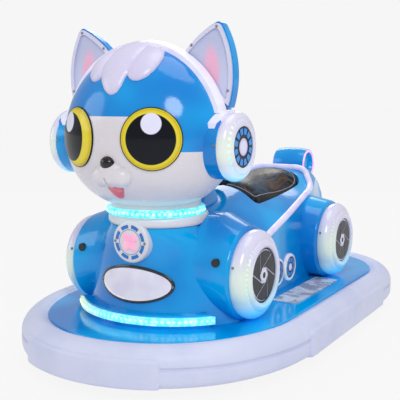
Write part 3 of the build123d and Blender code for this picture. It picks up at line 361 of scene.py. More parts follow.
# satin powder coat with a fine peel
frameSteel = mouldedAbs("powderCoatedSteel", "#1b1c1f", "#34363a", 0.4, 0.0008, 0.3)
brightSteel = metal("zincPlatedSteel", "#b9bcc2", 0.25, (1, 1, 8))
screwSteel = metal("stainlessScrewSteel", "#8f9096", 0.25, (1, 1, 1))
tubeSilicone = lightGuide("lavenderSiliconeGuide", "#d9d5ee", "#c9c2e8", 0.18)
bandSilicone = lightGuide("whiteSiliconeGuide", "#e4e3f2", "#dad8ee", 0.22, {
    "from": 0.250, "to": 0.297, "inner": 87, "outer": 42, "colour": "#0074cc"})
ringSilicone = lightGuide("pinkSiliconeGuide", "#f3b8e6", "#e0a4f0", 0.6)
print("finishes are mixed")

# finishes that follow one piece's own shape
eyeValues = {"x": 0.136, "y": -0.680, "z": 0.729, "turn": 24, "radius": 0.092, "pupil": 0.80, "line": 0.965,
             "glintUp": 0.49, "glint": 0.325,
             # both eyes glance to one side: how far the pupil and the glint sit from the middle of each eye
             "pupilLeft": -0.01, "glintLeft": 0.01, "pupilRight": 0.26, "glintRight": 0.36}
plateValues = {"halfWidth": 0.137, "halfHeight": 0.0575, "z": 0.2695, "rim": 0.0085, "field": 0.0040,
               "lip": 0.0058, "turns": 120}
liningValues = {"x": 0.232, "z": 0.935, "wide": 0.030, "tall": 0.075}
seatValues = {"halfWidth": 0.150, "front": -0.016, "rear": 0.472, "frontRound": 0.026, "rearRound": 0.130,
              "inset": 0.018, "voxel": 0.005, "start": 0.0045, "held": 0.024, "pressure": 4.0, "cap": 0.007,
              "frames": 20, "piping": 0.0020, "seamDepth": 0.0035, "seamWidth": 0.006, "edgeDrop": 0.010,
              "edgeReach": 0.055, "planStep": 0.004, "cordRounds": 8}


def eyeEnamel():
    # clear-coated enamel: yellow iris, deep black pupil and a painted round glint
    v = eyeValues
    f = Finish("clearCoatedEyeEnamel", "#e2d13a", Roughness=0.1, IOR=1.45, Specular_IOR_Level=0.3)
    turn, size = math.radians(v["turn"]), v["radius"]
    along = (f.y - v["y"]) * math.sin(turn) + (abs(f.x) - v["x"]) * math.cos(turn)
    height, left = f.z - v["z"], f.x > 0.0

    def reach(leftShift, rightShift, up):
        shift = left * ((leftShift - rightShift) * size) + rightShift * size
        return far(along - shift, height - up * size) / size

    edge = reach(0, 0, 0)
    pupil, glint = reach(v["pupilLeft"], v["pupilRight"], 0), reach(v["glintLeft"], v["glintRight"], v["glintUp"])
    tint = f.mix(edge.step(0.78, 0.96), "#e9d63c", "#d8c22c")
    tint = f.mix(pupil.step(v["pupil"] + 0.02, v["pupil"] - 0.01), tint, "#020714")
    tint = f.mix(glint.step(v["glint"] + 0.02, v["glint"] - 0.01), tint, "#e4e4fa")
    return f.fed(Base_Color=f.mix(edge.step(v["line"], v["line"] + 0.012), tint, "#0c0c10"))


def plateAcrylic():
    # bare back-painted acrylic plate: pale lilac field inside a black rim
    v = plateValues
    f = Finish("backPaintedPlateAcrylic", "#e6e0f2", Roughness=0.12, IOR=1.49, Coat_Weight=0.8)
    side, rise = f.x / (v["halfWidth"] - v["rim"]), (f.z - v["z"]) / (v["halfHeight"] - v["rim"])
    field = f.mix(f.noise(12).step(0.35, 0.7), "#f2eef8", "#e6dff2")
    return f.fed(Base_Color=f.mix(side * side + rise * rise > 1.0, field, "#0e0e12"))


def earLining():
    # sprayed gelcoat in the ear: lavender rim, blue-grey hollow, a soft pink heart
    v = liningValues
    f = Finish("sprayedEarGelcoat", "#c9c6e4", Roughness=0.3, Coat_Weight=0.5)
    side, rise = (abs(f.x) - v["x"]) / v["wide"], (f.z - v["z"]) / v["tall"]
    heart = far(side + rise * 0.25, rise).step(1.15, 0.45)
    deep = f.y.step(-0.4985, -0.4965)  # the hollow's floor lies 6 mm behind the rim
    hollow = f.mix(f.z.step(0.86, 1.03), "#cdd2f0", "#bcc2e0")
    return f.fed(Base_Color=f.mix(deep * heart, f.mix(deep, "#d8d6ec", hollow), "#f0b4d2"))


def embossedFoil():
    # embossed aluminium foil on the tread mats: bright, with a painted sheen in pale iridescent tints, and its facets
    # painted lit and shaded at random
    f = Finish("embossedAluminiumFoil", "#d6d9e0", Metallic=0.45, Roughness=0.3)
    hue = f.noise(9, 3, Distortion=1.2)
    # painted sheen: pale tints that wander across the foil
    sheen = f.ramp(hue, ((0.3, "#bcc6e0"), (0.45, "#c9d3d9"), (0.58, "#cdbfd6"), (0.7, "#f0eeee")))
    # painted highlight and shade: some facets are mixed toward white, the rest toward grey
    litAndShadedFacets = f.made("TexVoronoi", {"Vector": f.mapped((0.5, 1.0, 1.0), (0, 0, 0.5)), "Scale": 55}, "Color")
    tint = f.mix(litAndShadedFacets.step(0.35, 0.65), f.mix(0.45, sheen, "#7d8494"), f.mix(0.6, sheen, "#ffffff"))
    return f.fed(Base_Color=tint, Normal=f.bump(f.cells(160), 0.4, 0.001))  # 6 mm hammered cells


def tyreRubber():
    # moulded tyre rubber: near-black, dry, with ribs round the tread
    f = Finish("ribbedTyreRubber", "#161617", Roughness=0.75)
    ribs = (f.x * (2 * math.pi / 0.006)).maths("SINE")  # one rib every 6 mm
    return f.fed(Normal=f.bump(f.noise(500, 3) * 0.3 + ribs, 0.4, 0.0012))


def seatVinyl():
    # printed upholstery vinyl: long flowing streaks of dull colour inside a black border, wet-looking
    v = seatValues
    f = Finish("printedSeatVinyl", "#15161c", IOR=1.45, Specular_IOR_Level=0.2)
    long = f.mapped((1.0, 0.22, 0.0))
    sway = f.made("TexNoise", {"Vector": long, "Scale": 7, "Detail": 3, "Distortion": 1.4}, "Color")
    sway = f.made("VectorMath", {0: sway, "Scale": 0.05}, operation="SCALE")
    streaks = f.ramp(f.noise(16, 2, f.made("VectorMath", {0: long, 1: sway}, operation="ADD")), (
        (0.30, "#121318"), (0.37, "#1c2024"), (0.41, "#0c0d11"), (0.45, "#2c4258"), (0.49, "#182230"),
        (0.52, "#0b0c10"), (0.55, "#50301a"), (0.58, "#121215"), (0.62, "#2f4a2c"), (0.66, "#0e1012"),
        (0.72, "#14151a")))
    # the print stops at the piping: three sides of the plan are one distance, the front is a straight line
    aside = (abs(f.x) - (v["halfWidth"] - v["rearRound"])).maths("MAXIMUM", 0.0)
    behind = (f.y - (v["rear"] - v["rearRound"])).maths("MAXIMUM", 0.0)
    border = (far(aside, behind) > v["rearRound"] - v["inset"]).maths("MAXIMUM", f.y < v["front"] + v["inset"])
    pull = f.noise(9, 3, f.mapped((4, 1, 1)), Distortion=0.6)
    fine = f.bump(f.cells(520), 0.12, 0.0005, Normal=f.bump(pull, 0.25, 0.006))  # 2 mm leather cells
    return f.fed(Base_Color=f.mix(border, streaks, "#101116"), Roughness=pull.between(0.16, 0.34), Normal=fine)


brightStops = ((0, "#2fbef8"), (0.09, "#62d2fa"), (0.22, "#b4dff6"), (0.42, "#d4dcea"), (0.7, "#d8d6ee"))
mildStops = ((0, "#6cd4f8"), (0.07, "#a4dcf6"), (0.18, "#ccdcf2"), (0.42, "#dcdcf0"), (0.7, "#dcdaf0"))
wheelOpal = opalLamp("opalWheelLampAcrylic", wheelLamp, 0.142, 0.118, 7.5, brightStops, 0.45)
cupOpal = opalLamp("opalCupLampAcrylic", cupLamp, 0.105, 0.088, 12, mildStops, 1.0)
pipeOpal = opalLamp("opalBarrelAcrylic", pipeLamp, 0.052, 0.047, 30, mildStops, 0.2)
shutterPrint = rimDisc("shutterPrintedAbs", wheelLamp, 0.088, 0.34925, {
    "ground": ((0, "#dfe2f2"), (0.925, "#0b0b10")),
    "raised": ((0, "#15161c"), (0.115, "#e6e6f4"), (0.20, "#16171e"), (0.62, "#1c1d25"))})
# the glow of the cup and barrel discs is a painted glow: their printed ABS gives no light
padPrint = rimDisc("padPrintedAbs", cupLamp, 0.062, 0.33410, {
    "ground": ((0, "#151a30"), (0.50, "#1a2038"), (0.92, "#0b0d1a")), "glow": 0.12,
    "pads": 12, "padShare": 0.34, "gap": "#1a2444",
    "raised": ((0, "#d9d6ee"), (0.30, "#c6c4e6"), (0.5, "#2f8bd8"))})
barrelPrint = rimDisc("barrelPrintedAbs", pipeLamp, 0.040, 0.25580, {
    "ground": ((0, "#1a2440"), (0.45, "#222c48"), (0.88, "#14182c")), "glow": 0.1,
    "raised": ((0, "#e0def2"), (0.22, "#c9c8ea"), (0.45, "#3583cc"))})
neckLeds = ledStrip("cyanNeckStrip", 5, 6, "#35e2ee", "#35e2ee", 0.75)
stepLeds = ledStrip("cyanStepStrip", -0.24, -0.06, "#cfe8a8", "#62dcee", 0.75)
beadGlow = ledStrip("whiteHotBeads", -0.26, -0.10, "#e0f8b8", "#a4f6fc", 0.9)
eyePaint, plateFilm, earGelcoat, matFoil = eyeEnamel(), plateAcrylic(), earLining(), embossedFoil()
tyreBlack, seatPrint = tyreRubber(), seatVinyl()
badgeBlue = mouldedAbs("blueInlayAbs", "#1673c0", "#2a86d0", 0.25, 0.002, 0.05)
badgePink = lightGuide("pinkBadgeSilicone", "#f6b6cc", "#f2a2c6", 0.25)
pipingVinyl = mouldedAbs("greyPipingVinyl", "#8b8b93", "#75757e", 0.35, 0.002, 0.2)

# every node whose name starts with a word here gets that finish
finishes = {
    blueGelcoat: "base_deck body_shell tail_roll ear_left ear_right ear_cup dash_console",
    capGelcoat: "head_crown", whiteGelcoat: "neck_collar head_face chest_badge muzzle", pearlGelcoat: "hair_tuft",
    bumperPvc: "bumper_ring", seatPrint: "seat_pad", ringSilicone: "tail_light_rings",
    tubeSilicone: "saddle_light_tube", bandSilicone: "headband", pipeOpal: "exhaust_pipes",
    wheelOpal: "wheel_lamp", cupOpal: "cup_lamps", shutterPrint: "wheel_discs", padPrint: "cup_discs",
    barrelPrint: "pipe_discs", matFoil: "foot_mats", stepLeds: "front_light_strip", neckLeds: "neck_light_ring",
    plateFilm: "name_plate", earGelcoat: "ear_linings", blackAbs: "nose corner_lamps",
    eyePaint: "eye_lenses eye_rims", tongueVinyl: "tongue", frameSteel: "chassis_frame",
    brightSteel: "rear_axle rear_rim drive_fork drive_wheel_rim", tyreBlack: "rear_tyre drive_wheel_tyre",
    grainedAbs: "battery_pack throttle_pedal steering_wheel steering_column",
}
for material, words in finishes.items():
    for name in nodes:
        if name.startswith(tuple(words.split())):
            nodes[name].data.materials.clear()
            nodes[name].data.materials.append(material)
print("finishes are on the frame's nodes")


# ways of making pieces
def keep(name, mesh, material, body="car"):
    # a finished piece: its place is in its mesh, it rides with its body
    piece = linked(name, mesh)
    mesh.materials.clear()
    mesh.materials.append(material)
    mesh.shade_smooth()
    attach(piece, body)
    return piece


def shaped(built, mesh=None):
    # puts a bmesh into a mesh, a new one if none is given, and lets it go
    mesh = mesh or bpy.data.meshes.new("shape")
    built.to_mesh(mesh)
    built.free()
    return mesh


def solid(points, faces):
    # a mesh with all its faces looking outwards
    mesh = plainMesh(points, faces)
    built = bmesh.new()
    built.from_mesh(mesh)
    bmesh.ops.recalc_face_normals(built, faces=built.faces)
    return shaped(built, mesh)


def cosSin(degrees):
    # the cosine and sine of a turn
    return math.cos(math.radians(degrees)), math.sin(math.radians(degrees))


def gridFaces(rows, columns, loopRows=False, loopColumns=False, first=0):
    # faces between the points of a grid that is stored row by row; a loop joins its last line to its first
    return [(first + i * columns + j, first + i * columns + (j + 1) % columns,
             first + (i + 1) % rows * columns + (j + 1) % columns, first + (i + 1) % rows * columns + j)
            for i in range(rows if loopRows else rows - 1) for j in range(columns if loopColumns else columns - 1)]


def welded(node):
    mesh = nodes[node].data.copy()
    built = bmesh.new()
    built.from_mesh(mesh)
    bmesh.ops.remove_doubles(built, verts=built.verts, dist=1e-5)
    return shaped(built, mesh)


def evaluated(holder):
    # the plain mesh that an object's modifiers give; the object itself goes
    view = bpy.context.evaluated_depsgraph_get()
    result = bpy.data.meshes.new_from_object(holder.evaluated_get(view), depsgraph=view)
    bpy.data.objects.remove(holder)
    return result


def baked(mesh, *steps):
    # runs modifiers, each a kind and its settings, and returns the plain mesh they give
    holder = linked("holder", mesh)
    for kind, settings in steps:
        step = holder.modifiers.new(kind, kind)
        for name, value in settings.items():
            setattr(step, name, value)
    return evaluated(holder)


def fused(mesh, voxel, rounds):
    # melts overlapping shapes into one soft skin
    return baked(mesh, ("REMESH", {"mode": "VOXEL", "voxel_size": voxel, "use_smooth_shade": True}),
                 ("SMOOTH", {"factor": 0.5, "iterations": rounds}))


def grown(tree, source, **values):
    # runs a node tree on a source mesh with named values and returns the plain mesh
    holder = bpy.data.objects.new("holder", source or plainMesh([]))
    step = holder.modifiers.new("grow", "NODES")
    step.node_group = tree
    for item in tree.interface.items_tree:
        if item.item_type == "SOCKET" and item.in_out == "INPUT" and item.name in values:
            step[item.identifier] = values[item.name]
    scene.collection.objects.link(holder)
    return evaluated(holder)


def lathe(profile, turns):
    # spins radius and height pairs about Z; a radius of 0 closes the shape at its pole
    points, rings = [], []
    for radius, height in profile:
        count = 1 if radius == 0 else turns
        rings.append(list(range(len(points), len(points) + count)))
        way = [cosSin(360 * k / turns) for k in range(count)]
        points += [(radius * cos, radius * sin, height) for cos, sin in way]
    faces = []
    for low, high in zip(rings, rings[1:]):
        for k in range(turns):
            corners = [low[k % len(low)], low[(k + 1) % len(low)], high[(k + 1) % len(high)], high[k % len(high)]]
            faces.append(list(dict.fromkeys(corners)))
    return solid(points, [face for face in faces if len(face) > 2])


def balls(rows, detail):
    # balls stretched to their size, each turned so that its Z points along its aim if it has one
    built = bmesh.new()
    for middle, size, *aims in rows:
        ball = bmesh.ops.create_icosphere(built, subdivisions=detail, radius=1.0)["verts"]
        bmesh.ops.scale(built, verts=ball, vec=size)
        for aim in aims:
            turn = aim.to_track_quat("Z", "Y").to_matrix()
            bmesh.ops.rotate(built, verts=ball, cent=(0, 0, 0), matrix=turn)
        bmesh.ops.translate(built, verts=ball, vec=middle)
    return shaped(built)


def placed(mesh, middle, aim):
    # moves a turned shape so that its Z points along aim
    turn = Vector(aim).to_track_quat("Z", "Y").to_matrix().to_4x4()
    turn.translation = Vector(middle)
    mesh.transform(turn)
    return mesh


def joined(*meshes):
    built = bmesh.new()
    for mesh in meshes:
        built.from_mesh(mesh)
    return shaped(built)


def newTree(name, **more):
    tree = bpy.data.node_groups.new(name, "GeometryNodeTree")
    for label, kind in {"Geometry": "Geometry", "Shape": "Object", **more, "Finish": "Material"}.items():
        tree.interface.new_socket(name=label, in_out="INPUT", socket_type="NodeSocket" + kind)
    tree.interface.new_socket(name="Geometry", in_out="OUTPUT", socket_type="NodeSocketGeometry")
    tree.nodes.new("NodeGroupOutput")
    return tree, tree.nodes.new("NodeGroupInput").outputs


def repeated(tree, start, points, axis=None, turn=None):
    # ends a tree: its shape on every point, turned about one axis or along the point's own aim, in its finish
    if axis:
        turn = addNode(tree, "ShaderNodeCombineXYZ", {axis: turn}).outputs[0]
    shape = addNode(tree, "GeometryNodeObjectInfo", {"Object": start["Shape"]}).outputs["Geometry"]
    how = {"Rotation": turn} if turn else {}
    if "Size" in start:
        how["Scale"] = start["Size"]
    made = addNode(tree, "GeometryNodeInstanceOnPoints", {"Points": points, "Instance": shape, **how}).outputs[0]
    if "Place" in start:
        made = addNode(tree, "GeometryNodeTransform", {"Geometry": made, "Translation": start["Place"]}).outputs[0]
    real = addNode(tree, "GeometryNodeRealizeInstances", {0: made})
    coat = addNode(tree, "GeometryNodeSetMaterial", {0: real.outputs[0], "Material": start["Finish"]})
    tree.links.new(coat.outputs[0], tree.nodes["Group Output"].inputs[0])


# a fastener or badge on every point, turned along the point's own aim
pointTree, start = newTree("fastenerOnPoints", Size="Float")
aimed = addNode(pointTree, "GeometryNodeInputNamedAttribute", {"Name": "aim"}, data_type="FLOAT_VECTOR")
turned = addNode(pointTree, "FunctionNodeAlignRotationToVector", {"Vector": aimed.outputs[0]}, axis="Z")
repeated(pointTree, start, start["Geometry"], turn=turned.outputs[0])

# light beads at an even pitch along a line
beadTree, start = newTree("beadsAlongLine", Pitch="Float")
line = addNode(beadTree, "GeometryNodeMeshToCurve", {0: start["Geometry"]})
even = addNode(beadTree, "GeometryNodeResampleCurve", {"Curve": line.outputs[0], "Length": start["Pitch"]},
               mode="LENGTH")
repeated(beadTree, start, even.outputs[0])

# equal shapes round a middle point, in a plane that faces along Y
roundTree, start = newTree("shapesRoundMiddle", Count="Int", Turn="Float", Place="Vector")
row = addNode(roundTree, "GeometryNodeMeshLine", {"Count": start["Count"], "Offset": (0, 0, 0)})
index = Value(roundTree, addNode(roundTree, "GeometryNodeInputIndex").outputs[0])
repeated(roundTree, start, row.outputs[0], "Y", index / start["Count"] * (2 * math.pi) + start["Turn"])

# raised lozenges on a grid, every second one turned across
treadTree, start = newTree("lozengeTread", Width="Float", Length="Float", Across="Int", Along="Int",
                           Place="Vector")
grid = addNode(treadTree, "GeometryNodeMeshGrid", {"Size X": start["Width"], "Size Y": start["Length"],
                                                  "Vertices X": start["Across"], "Vertices Y": start["Along"]})
index = Value(treadTree, addNode(treadTree, "GeometryNodeInputIndex").outputs[0])
repeated(treadTree, start, grid.outputs["Mesh"], "Z",
         index.maths("MODULO", 2.0) * math.radians(90) + math.radians(45))


def pattern(mesh):
    # a shape that node trees repeat; it is taken out of the scene again at the end
    mesh.shade_smooth()
    return linked("pattern", mesh)


def pointsWithAim(rows):
    mesh = plainMesh([place for place, aim in rows])
    aims = mesh.attributes.new("aim", "FLOAT_VECTOR", "POINT")
    aims.data.foreach_set("vector", [value for place, aim in rows for value in aim])
    return mesh


def rayTree(mesh):
    return BVHTree.FromPolygons([v.co for v in mesh.vertices], [p.vertices for p in mesh.polygons])


surfaces = {}


def landed(node, start, aim):
    # where a ray first meets a node, and the way the surface faces there
    if node not in surfaces:
        surfaces[node] = rayTree(nodes[node].data)
    place, facing = surfaces[node].ray_cast(Vector(start), Vector(aim).normalized())[:2]
    if place is None:
        raise ValueError(f"no surface of {node} lies that way")
    return place, facing


def fromFront(node, x, z):
    return landed(node, (x, -0.9, z), (0, 1, 0))


def fromAbove(rays, place):
    return rays.ray_cast(Vector((place.x, place.y, 1.0)), Vector((0, 0, -1)))[:2]


print("ways of making pieces are ready")

# soft bumper; a block stands out at each end and each side, and endY and sideX tell those four from each other
bumperValues = {"pitch": 0.008, "blend": 0.006, "blockHalf": 0.238, "blockFront": -0.335, "blockRear": 0.388,
                "width": 0.094, "endY": 0.6, "sideX": 0.4, "rays": 2400, "height": 0.07, "near": 0.012,
                "finePitch": 0.0015}
# distance out from the deck's side and height, in millimetres, between the blocks and across a block
ringProfile = ((0.4, 137), (12, 144), (24, 150.5), (36, 156.6), (46.1, 156.1), (55.8, 153.5), (65, 149.2),
               (73.3, 143.4), (80.4, 136.3), (84.1, 131.4), (87.2, 126.2), (89.8, 120.7), (92.3, 113), (93.7, 105.1),
               (93.3, 103.4), (91.2, 102.4), (88.6, 101.2), (88, 97.5), (88.6, 93.8), (91.2, 92.6), (93.6, 91.4),
               (94, 88), (94, 78), (94, 68), (93.3, 60.3), (91.2, 54), (87.9, 48.2), (83.4, 43.2), (78, 39.3),
               (70.3, 36.1), (62, 35), (45, 35), (25, 35), (6, 35.4), (0.4, 38), (0.4, 70), (0.4, 105))
blockFace = tuple((100, height) for height in (115, 110, 104, 97.5, 91, 84, 76, 68, 60, 52))
blockProfile = (*ringProfile[:10], (87.4, 126.0), (92.5, 125.6), (97.2, 124.0), (99.6, 120.5), *blockFace,
                (99.7, 46.5), (98.2, 43), (95, 41), (89, 40.2), (81, 39.0), *ringProfile[29:])


def deckSide(count):
    # points on the bumper's inner wall and the way each faces out, found by rays from the middle
    found = []
    for k in range(count):
        aim = Vector((*cosSin(360 * k / count), 0))
        place, facing = landed("bumper_ring", (0, 0, bumperValues["height"]), aim)
        out = Vector((-facing.x, -facing.y, 0)).normalized()
        found.append((place, out if out.dot(aim) > 0 else -out))
    return found


def softBumper():
    v = bumperValues
    rows, gone, last = [], 1.0, None
    for place, out in deckSide(v["rays"]):
        edge = place + out * v["width"]
        atEnd, atSide = abs(edge.y) > v["endY"], abs(edge.x) > v["sideX"]
        gap = min(abs(abs(edge.x) - v["blockHalf"]) if atEnd else 9,
                  min(abs(edge.y - v["blockFront"]), abs(edge.y - v["blockRear"])) if atSide else 9)
        gone += 0 if last is None else (edge - last).length
        last = edge
        if gone < (v["finePitch"] if gap < v["near"] else v["pitch"]):
            continue
        gone = 0
        inBlock = v["blockHalf"] - abs(edge.x) if atEnd else min(edge.y - v["blockFront"], v["blockRear"] - edge.y)
        share = min(max(inBlock / v["blend"] + 0.5, 0), 1)
        share = share * share * (3 - 2 * share)
        rows.append([(place + out * (((1 - share) * a[0] + share * b[0]) / 1000)).xy[:] + (
            ((1 - share) * a[1] + share * b[1]) / 1000,) for a, b in zip(ringProfile, blockProfile)])
    return solid([point for row in rows for point in row], gridFaces(len(rows), len(ringProfile), True, True))


bumper = softBumper()
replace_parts(keep("bumperSkin", bumper, bumperPvc), "bumper_ring")
print("bumper:", len(bumper.polygons), "faces")

# muzzle, nose, tongue and forelock
faceValues = {"lobeX": 0.031, "lobeY": -0.686, "lobeZ": 0.617, "lobe": (0.038, 0.034, 0.034),
              "bridge": (0, -0.688, 0.634), "bridgeSize": (0.047, 0.035, 0.036),
              "chin": (0, -0.687, 0.613), "chinSize": (0.046, 0.036, 0.029), "voxel": 0.0018, "rounds": 40,
              "creaseDepth": 0.010, "creaseWidth": 0.0028, "creaseFront": -0.69, "noseWide": 1.13,
              "tongueTop": 0.589, "tongueTip": 0.545, "tongueHalf": 0.030, "tongueStand": 0.006,
              "tongueSink": 0.0005, "tongueThick": 0.002, "tongueTaper": 0.28, "tongueGrid": (22, 21)}
creaseLine = [(-0.004, 0.610), (-0.003, 0.604), (0.000, 0.598), (0.005, 0.592), (0.011, 0.588), (0.018, 0.586)]

v = faceValues
muzzle = fused(balls([((v["lobeX"] * side, v["lobeY"], v["lobeZ"]), v["lobe"]) for side in (-1, 1)]
                     + [(v["bridge"], v["bridgeSize"]), (v["chin"], v["chinSize"])], 4), v["voxel"], v["rounds"])
for point in muzzle.vertices:  # the smile's crease is pressed in along a short hooked line
    near = min(math.hypot(point.co.x - x, point.co.z - z) for x, z in creaseLine)
    if point.co.y < v["creaseFront"]:
        point.co.y += v["creaseDepth"] * math.exp(-(near / v["creaseWidth"]) ** 2)
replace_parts(keep("muzzleSkin", muzzle, whiteGelcoat), "muzzle")
nose = welded("nose")
for point in nose.vertices:
    point.co.x *= v["noseWide"]
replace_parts(keep("noseBall", nose, blackAbs), "nose")


def tongue():
    # a rounded triangle laid on the face, swollen in the middle
    v = faceValues
    half, top, tip = v["tongueHalf"], v["tongueTop"], v["tongueTip"]
    rows, columns = v["tongueGrid"]
    points = []
    for i in range(rows):
        drop = i / (rows - 1)
        width = half * math.sqrt(max(1 - drop ** 2.2, 0)) * (1 - v["tongueTaper"] * drop)
        for j in range(columns):
            across = 2 * j / (columns - 1) - 1
            x, z = across * width, top + (tip - top) * drop
            place, facing = fromFront("head_face", x, z)
            swell = v["tongueStand"] * math.sqrt(max(1 - abs(across) ** 3, 0)) * math.sqrt(max(1 - drop ** 4, 0))
            points.append(place + facing * (swell - v["tongueSink"]))
    return baked(plainMesh(points, gridFaces(rows, columns)),
                 ("SOLIDIFY", {"thickness": v["tongueThick"], "offset": 0}), ("WELD", {"merge_threshold": 0.0001}))


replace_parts(keep("tongueSkin", tongue(), tongueVinyl), "tongue")
# each lock of the forelock: points on the head from the band down to its tip, with its half width there
lockRows = (
    ((-0.079, -0.560, 0.978, 0.027), (-0.086, -0.580, 0.966, 0.029), (-0.092, -0.598, 0.953, 0.033),
     (-0.091, -0.613, 0.940, 0.034), (-0.085, -0.630, 0.925, 0.032), (-0.076, -0.641, 0.912, 0.026)),
    ((-0.002, -0.561, 0.993, 0.049), (-0.006, -0.602, 0.969, 0.055), (-0.009, -0.627, 0.947, 0.054),
     (-0.010, -0.644, 0.928, 0.051), (-0.008, -0.658, 0.910, 0.043), (-0.002, -0.671, 0.889, 0.033),
     (0.002, -0.679, 0.874, 0.022)),
    ((0.070, -0.562, 0.984, 0.033), (0.076, -0.588, 0.968, 0.040), (0.076, -0.605, 0.955, 0.041),
     (0.073, -0.621, 0.941, 0.041), (0.069, -0.633, 0.929, 0.037), (0.064, -0.643, 0.919, 0.030)),
)
lockValues = {"steps": 5, "swell": 0.009, "rise": 0.17, "voxel": 0.0018, "rounds": 9}
headMiddle = Vector((0, -0.487, 0.775))


def lockBalls():
    # a ball at every step along each lock, laid on the head
    v = lockValues
    rows = []
    for row in lockRows:
        for first, second in zip(row, row[1:]):
            for k in range(v["steps"]):
                *place, half = Vector(first).lerp(Vector(second), k / v["steps"])
                away = (Vector(place) - headMiddle).normalized()
                place, facing = landed("head_crown", Vector(place) + away * 0.1, -away)
                rows.append((place, (half, half, v["swell"] + v["rise"] * half), facing))
    return balls(rows, 3)


forelock = fused(lockBalls(), lockValues["voxel"], lockValues["rounds"])
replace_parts(keep("forelock", forelock, pearlGelcoat), "hair_tuft")
print("face parts are in")


# blank name plate
def ovalPlate():
    # rings from the middle out; the black rim stands a little above the pale field
    v = plateValues
    inner = (v["halfWidth"] - v["rim"], v["halfHeight"] - v["rim"])
    rings = [(inner[0] * share, inner[1] * share, v["field"]) for share in (0.25, 0.5, 0.75, 0.9, 0.985)]
    rings += [(inner[0] + v["rim"] * share, inner[1] + v["rim"] * share, high) for share, high in (
        (0.08, v["lip"] - 0.0004), (0.25, v["lip"]), (0.7, v["lip"]), (0.92, v["lip"] - 0.0012),
        (1.0, v["field"] / 2), (1.0, -0.003))]
    turns = v["turns"]

    def onChest(x, z, high):
        place, facing = fromFront("body_shell", x, z)
        return place + facing * high

    points = [onChest(0, v["z"], v["field"])]
    for a, b, high in rings:
        for k in range(turns):
            cos, sin = cosSin(360 * k / turns)
            points.append(onChest(a * cos, v["z"] + b * sin, high))
    faces = [(0, 1 + (k + 1) % turns, 1 + k) for k in range(turns)]
    faces += gridFaces(len(rings), turns, loopColumns=True, first=1)
    return solid(points, faces + [tuple(range(len(points) - turns, len(points)))])


plate = ovalPlate()
surfaces["ovalPlate"] = rayTree(plate)
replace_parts(keep("ovalPlate", plate, plateFilm), "name_plate")
print("name plate is in")


# padded seat
def seatPlan(inset, step):
    # the seat's outline seen from above, drawn in by the inset, as points at an even step
    v = seatValues
    corners = ((1, v["frontRound"], -90), (1, v["rearRound"], 0), (-1, v["rearRound"], 90), (-1, v["frontRound"], 180))
    points = []
    for side, corner, begin in corners:
        middle = Vector((side * (v["halfWidth"] - corner),
                         v["front"] + corner if corner == v["frontRound"] else v["rear"] - corner))
        radius = max(corner - inset, 0.004)
        shift = max(inset - corner + 0.004, 0)
        count = max(int(math.radians(90) * radius / step), 4)
        for k in range(count + 1):
            points.append(middle + Vector((-side * shift, shift if begin in (-90, 180) else -shift))
                          + Vector(cosSin(begin + 90 * k / count)) * radius)
    filled = []
    for first, second in zip(points, points[1:] + points[:1]):
        count = max(int((second - first).length / step), 1)
        filled += [first.lerp(second, k / count) for k in range(count)]
    return filled


def planDistance(plan):
    # gives a function that says how far a point lies from the outline, seen from above
    found = KDTree(len(plan))
    for k, place in enumerate(plan):
        found.insert((place.x, place.y, 0), k)
    found.balance()
    return lambda place: found.find((place.x, place.y, 0))[2]


def swollenPad():
    # a slightly small pad that cloth pressure fills out, held in its recess by its foot
    v = seatValues
    pad = fused(welded("seat_pad"), v["voxel"], 4)
    crown = rayTree(pad)
    inward = [point.normal * -v["start"] for point in pad.vertices]
    fromRim = planDistance(seatPlan(0, v["planStep"]))
    for point, shift in zip(pad.vertices, inward):  # the crown falls away towards the edge
        share = 1 - min(fromRim(point.co) / v["edgeReach"], 1)
        shift.z -= v["edgeDrop"] * share * share if point.normal.z > -0.5 else 0
    for point, shift in zip(pad.vertices, inward):
        point.co += shift
    start = [point.co.copy() for point in pad.vertices]
    foot = []
    for k, place in enumerate(start):
        above = fromAbove(crown, place)[0]
        if above is None or above.z - place.z > v["held"]:
            foot.append(k)
    holder = linked("pad", pad)
    holder.vertex_groups.new(name="foot").add(foot, 1.0, "REPLACE")
    step = holder.modifiers.new("cloth", "CLOTH")
    step.settings.use_pressure = True
    step.settings.uniform_pressure_force = v["pressure"]
    step.settings.effector_weights.gravity = 0
    step.settings.vertex_group_mass = "foot"
    step.point_cache.frame_start, step.point_cache.frame_end = 1, v["frames"]
    for frame in range(1, v["frames"] + 1):
        scene.frame_set(frame)
    pad = evaluated(holder)
    scene.frame_set(1)
    for point, place in zip(pad.vertices, start):
        move = point.co - place
        if move.length > v["cap"]:
            point.co = place + move.normalized() * v["cap"]
    return pad


def tube(rows, radius, sides):
    # a closed round cord through points, each with the way it faces off the surface below
    points = []
    for k, (place, facing) in enumerate(rows):
        along = (rows[(k + 1) % len(rows)][0] - rows[k - 1][0]).normalized()
        side = along.cross(facing).normalized()
        up = side.cross(along)
        way = [cosSin(360 * j / sides) for j in range(sides)]
        points += [place + side * radius * cos + up * radius * sin for cos, sin in way]
    return solid(points, gridFaces(len(rows), sides, True, True))


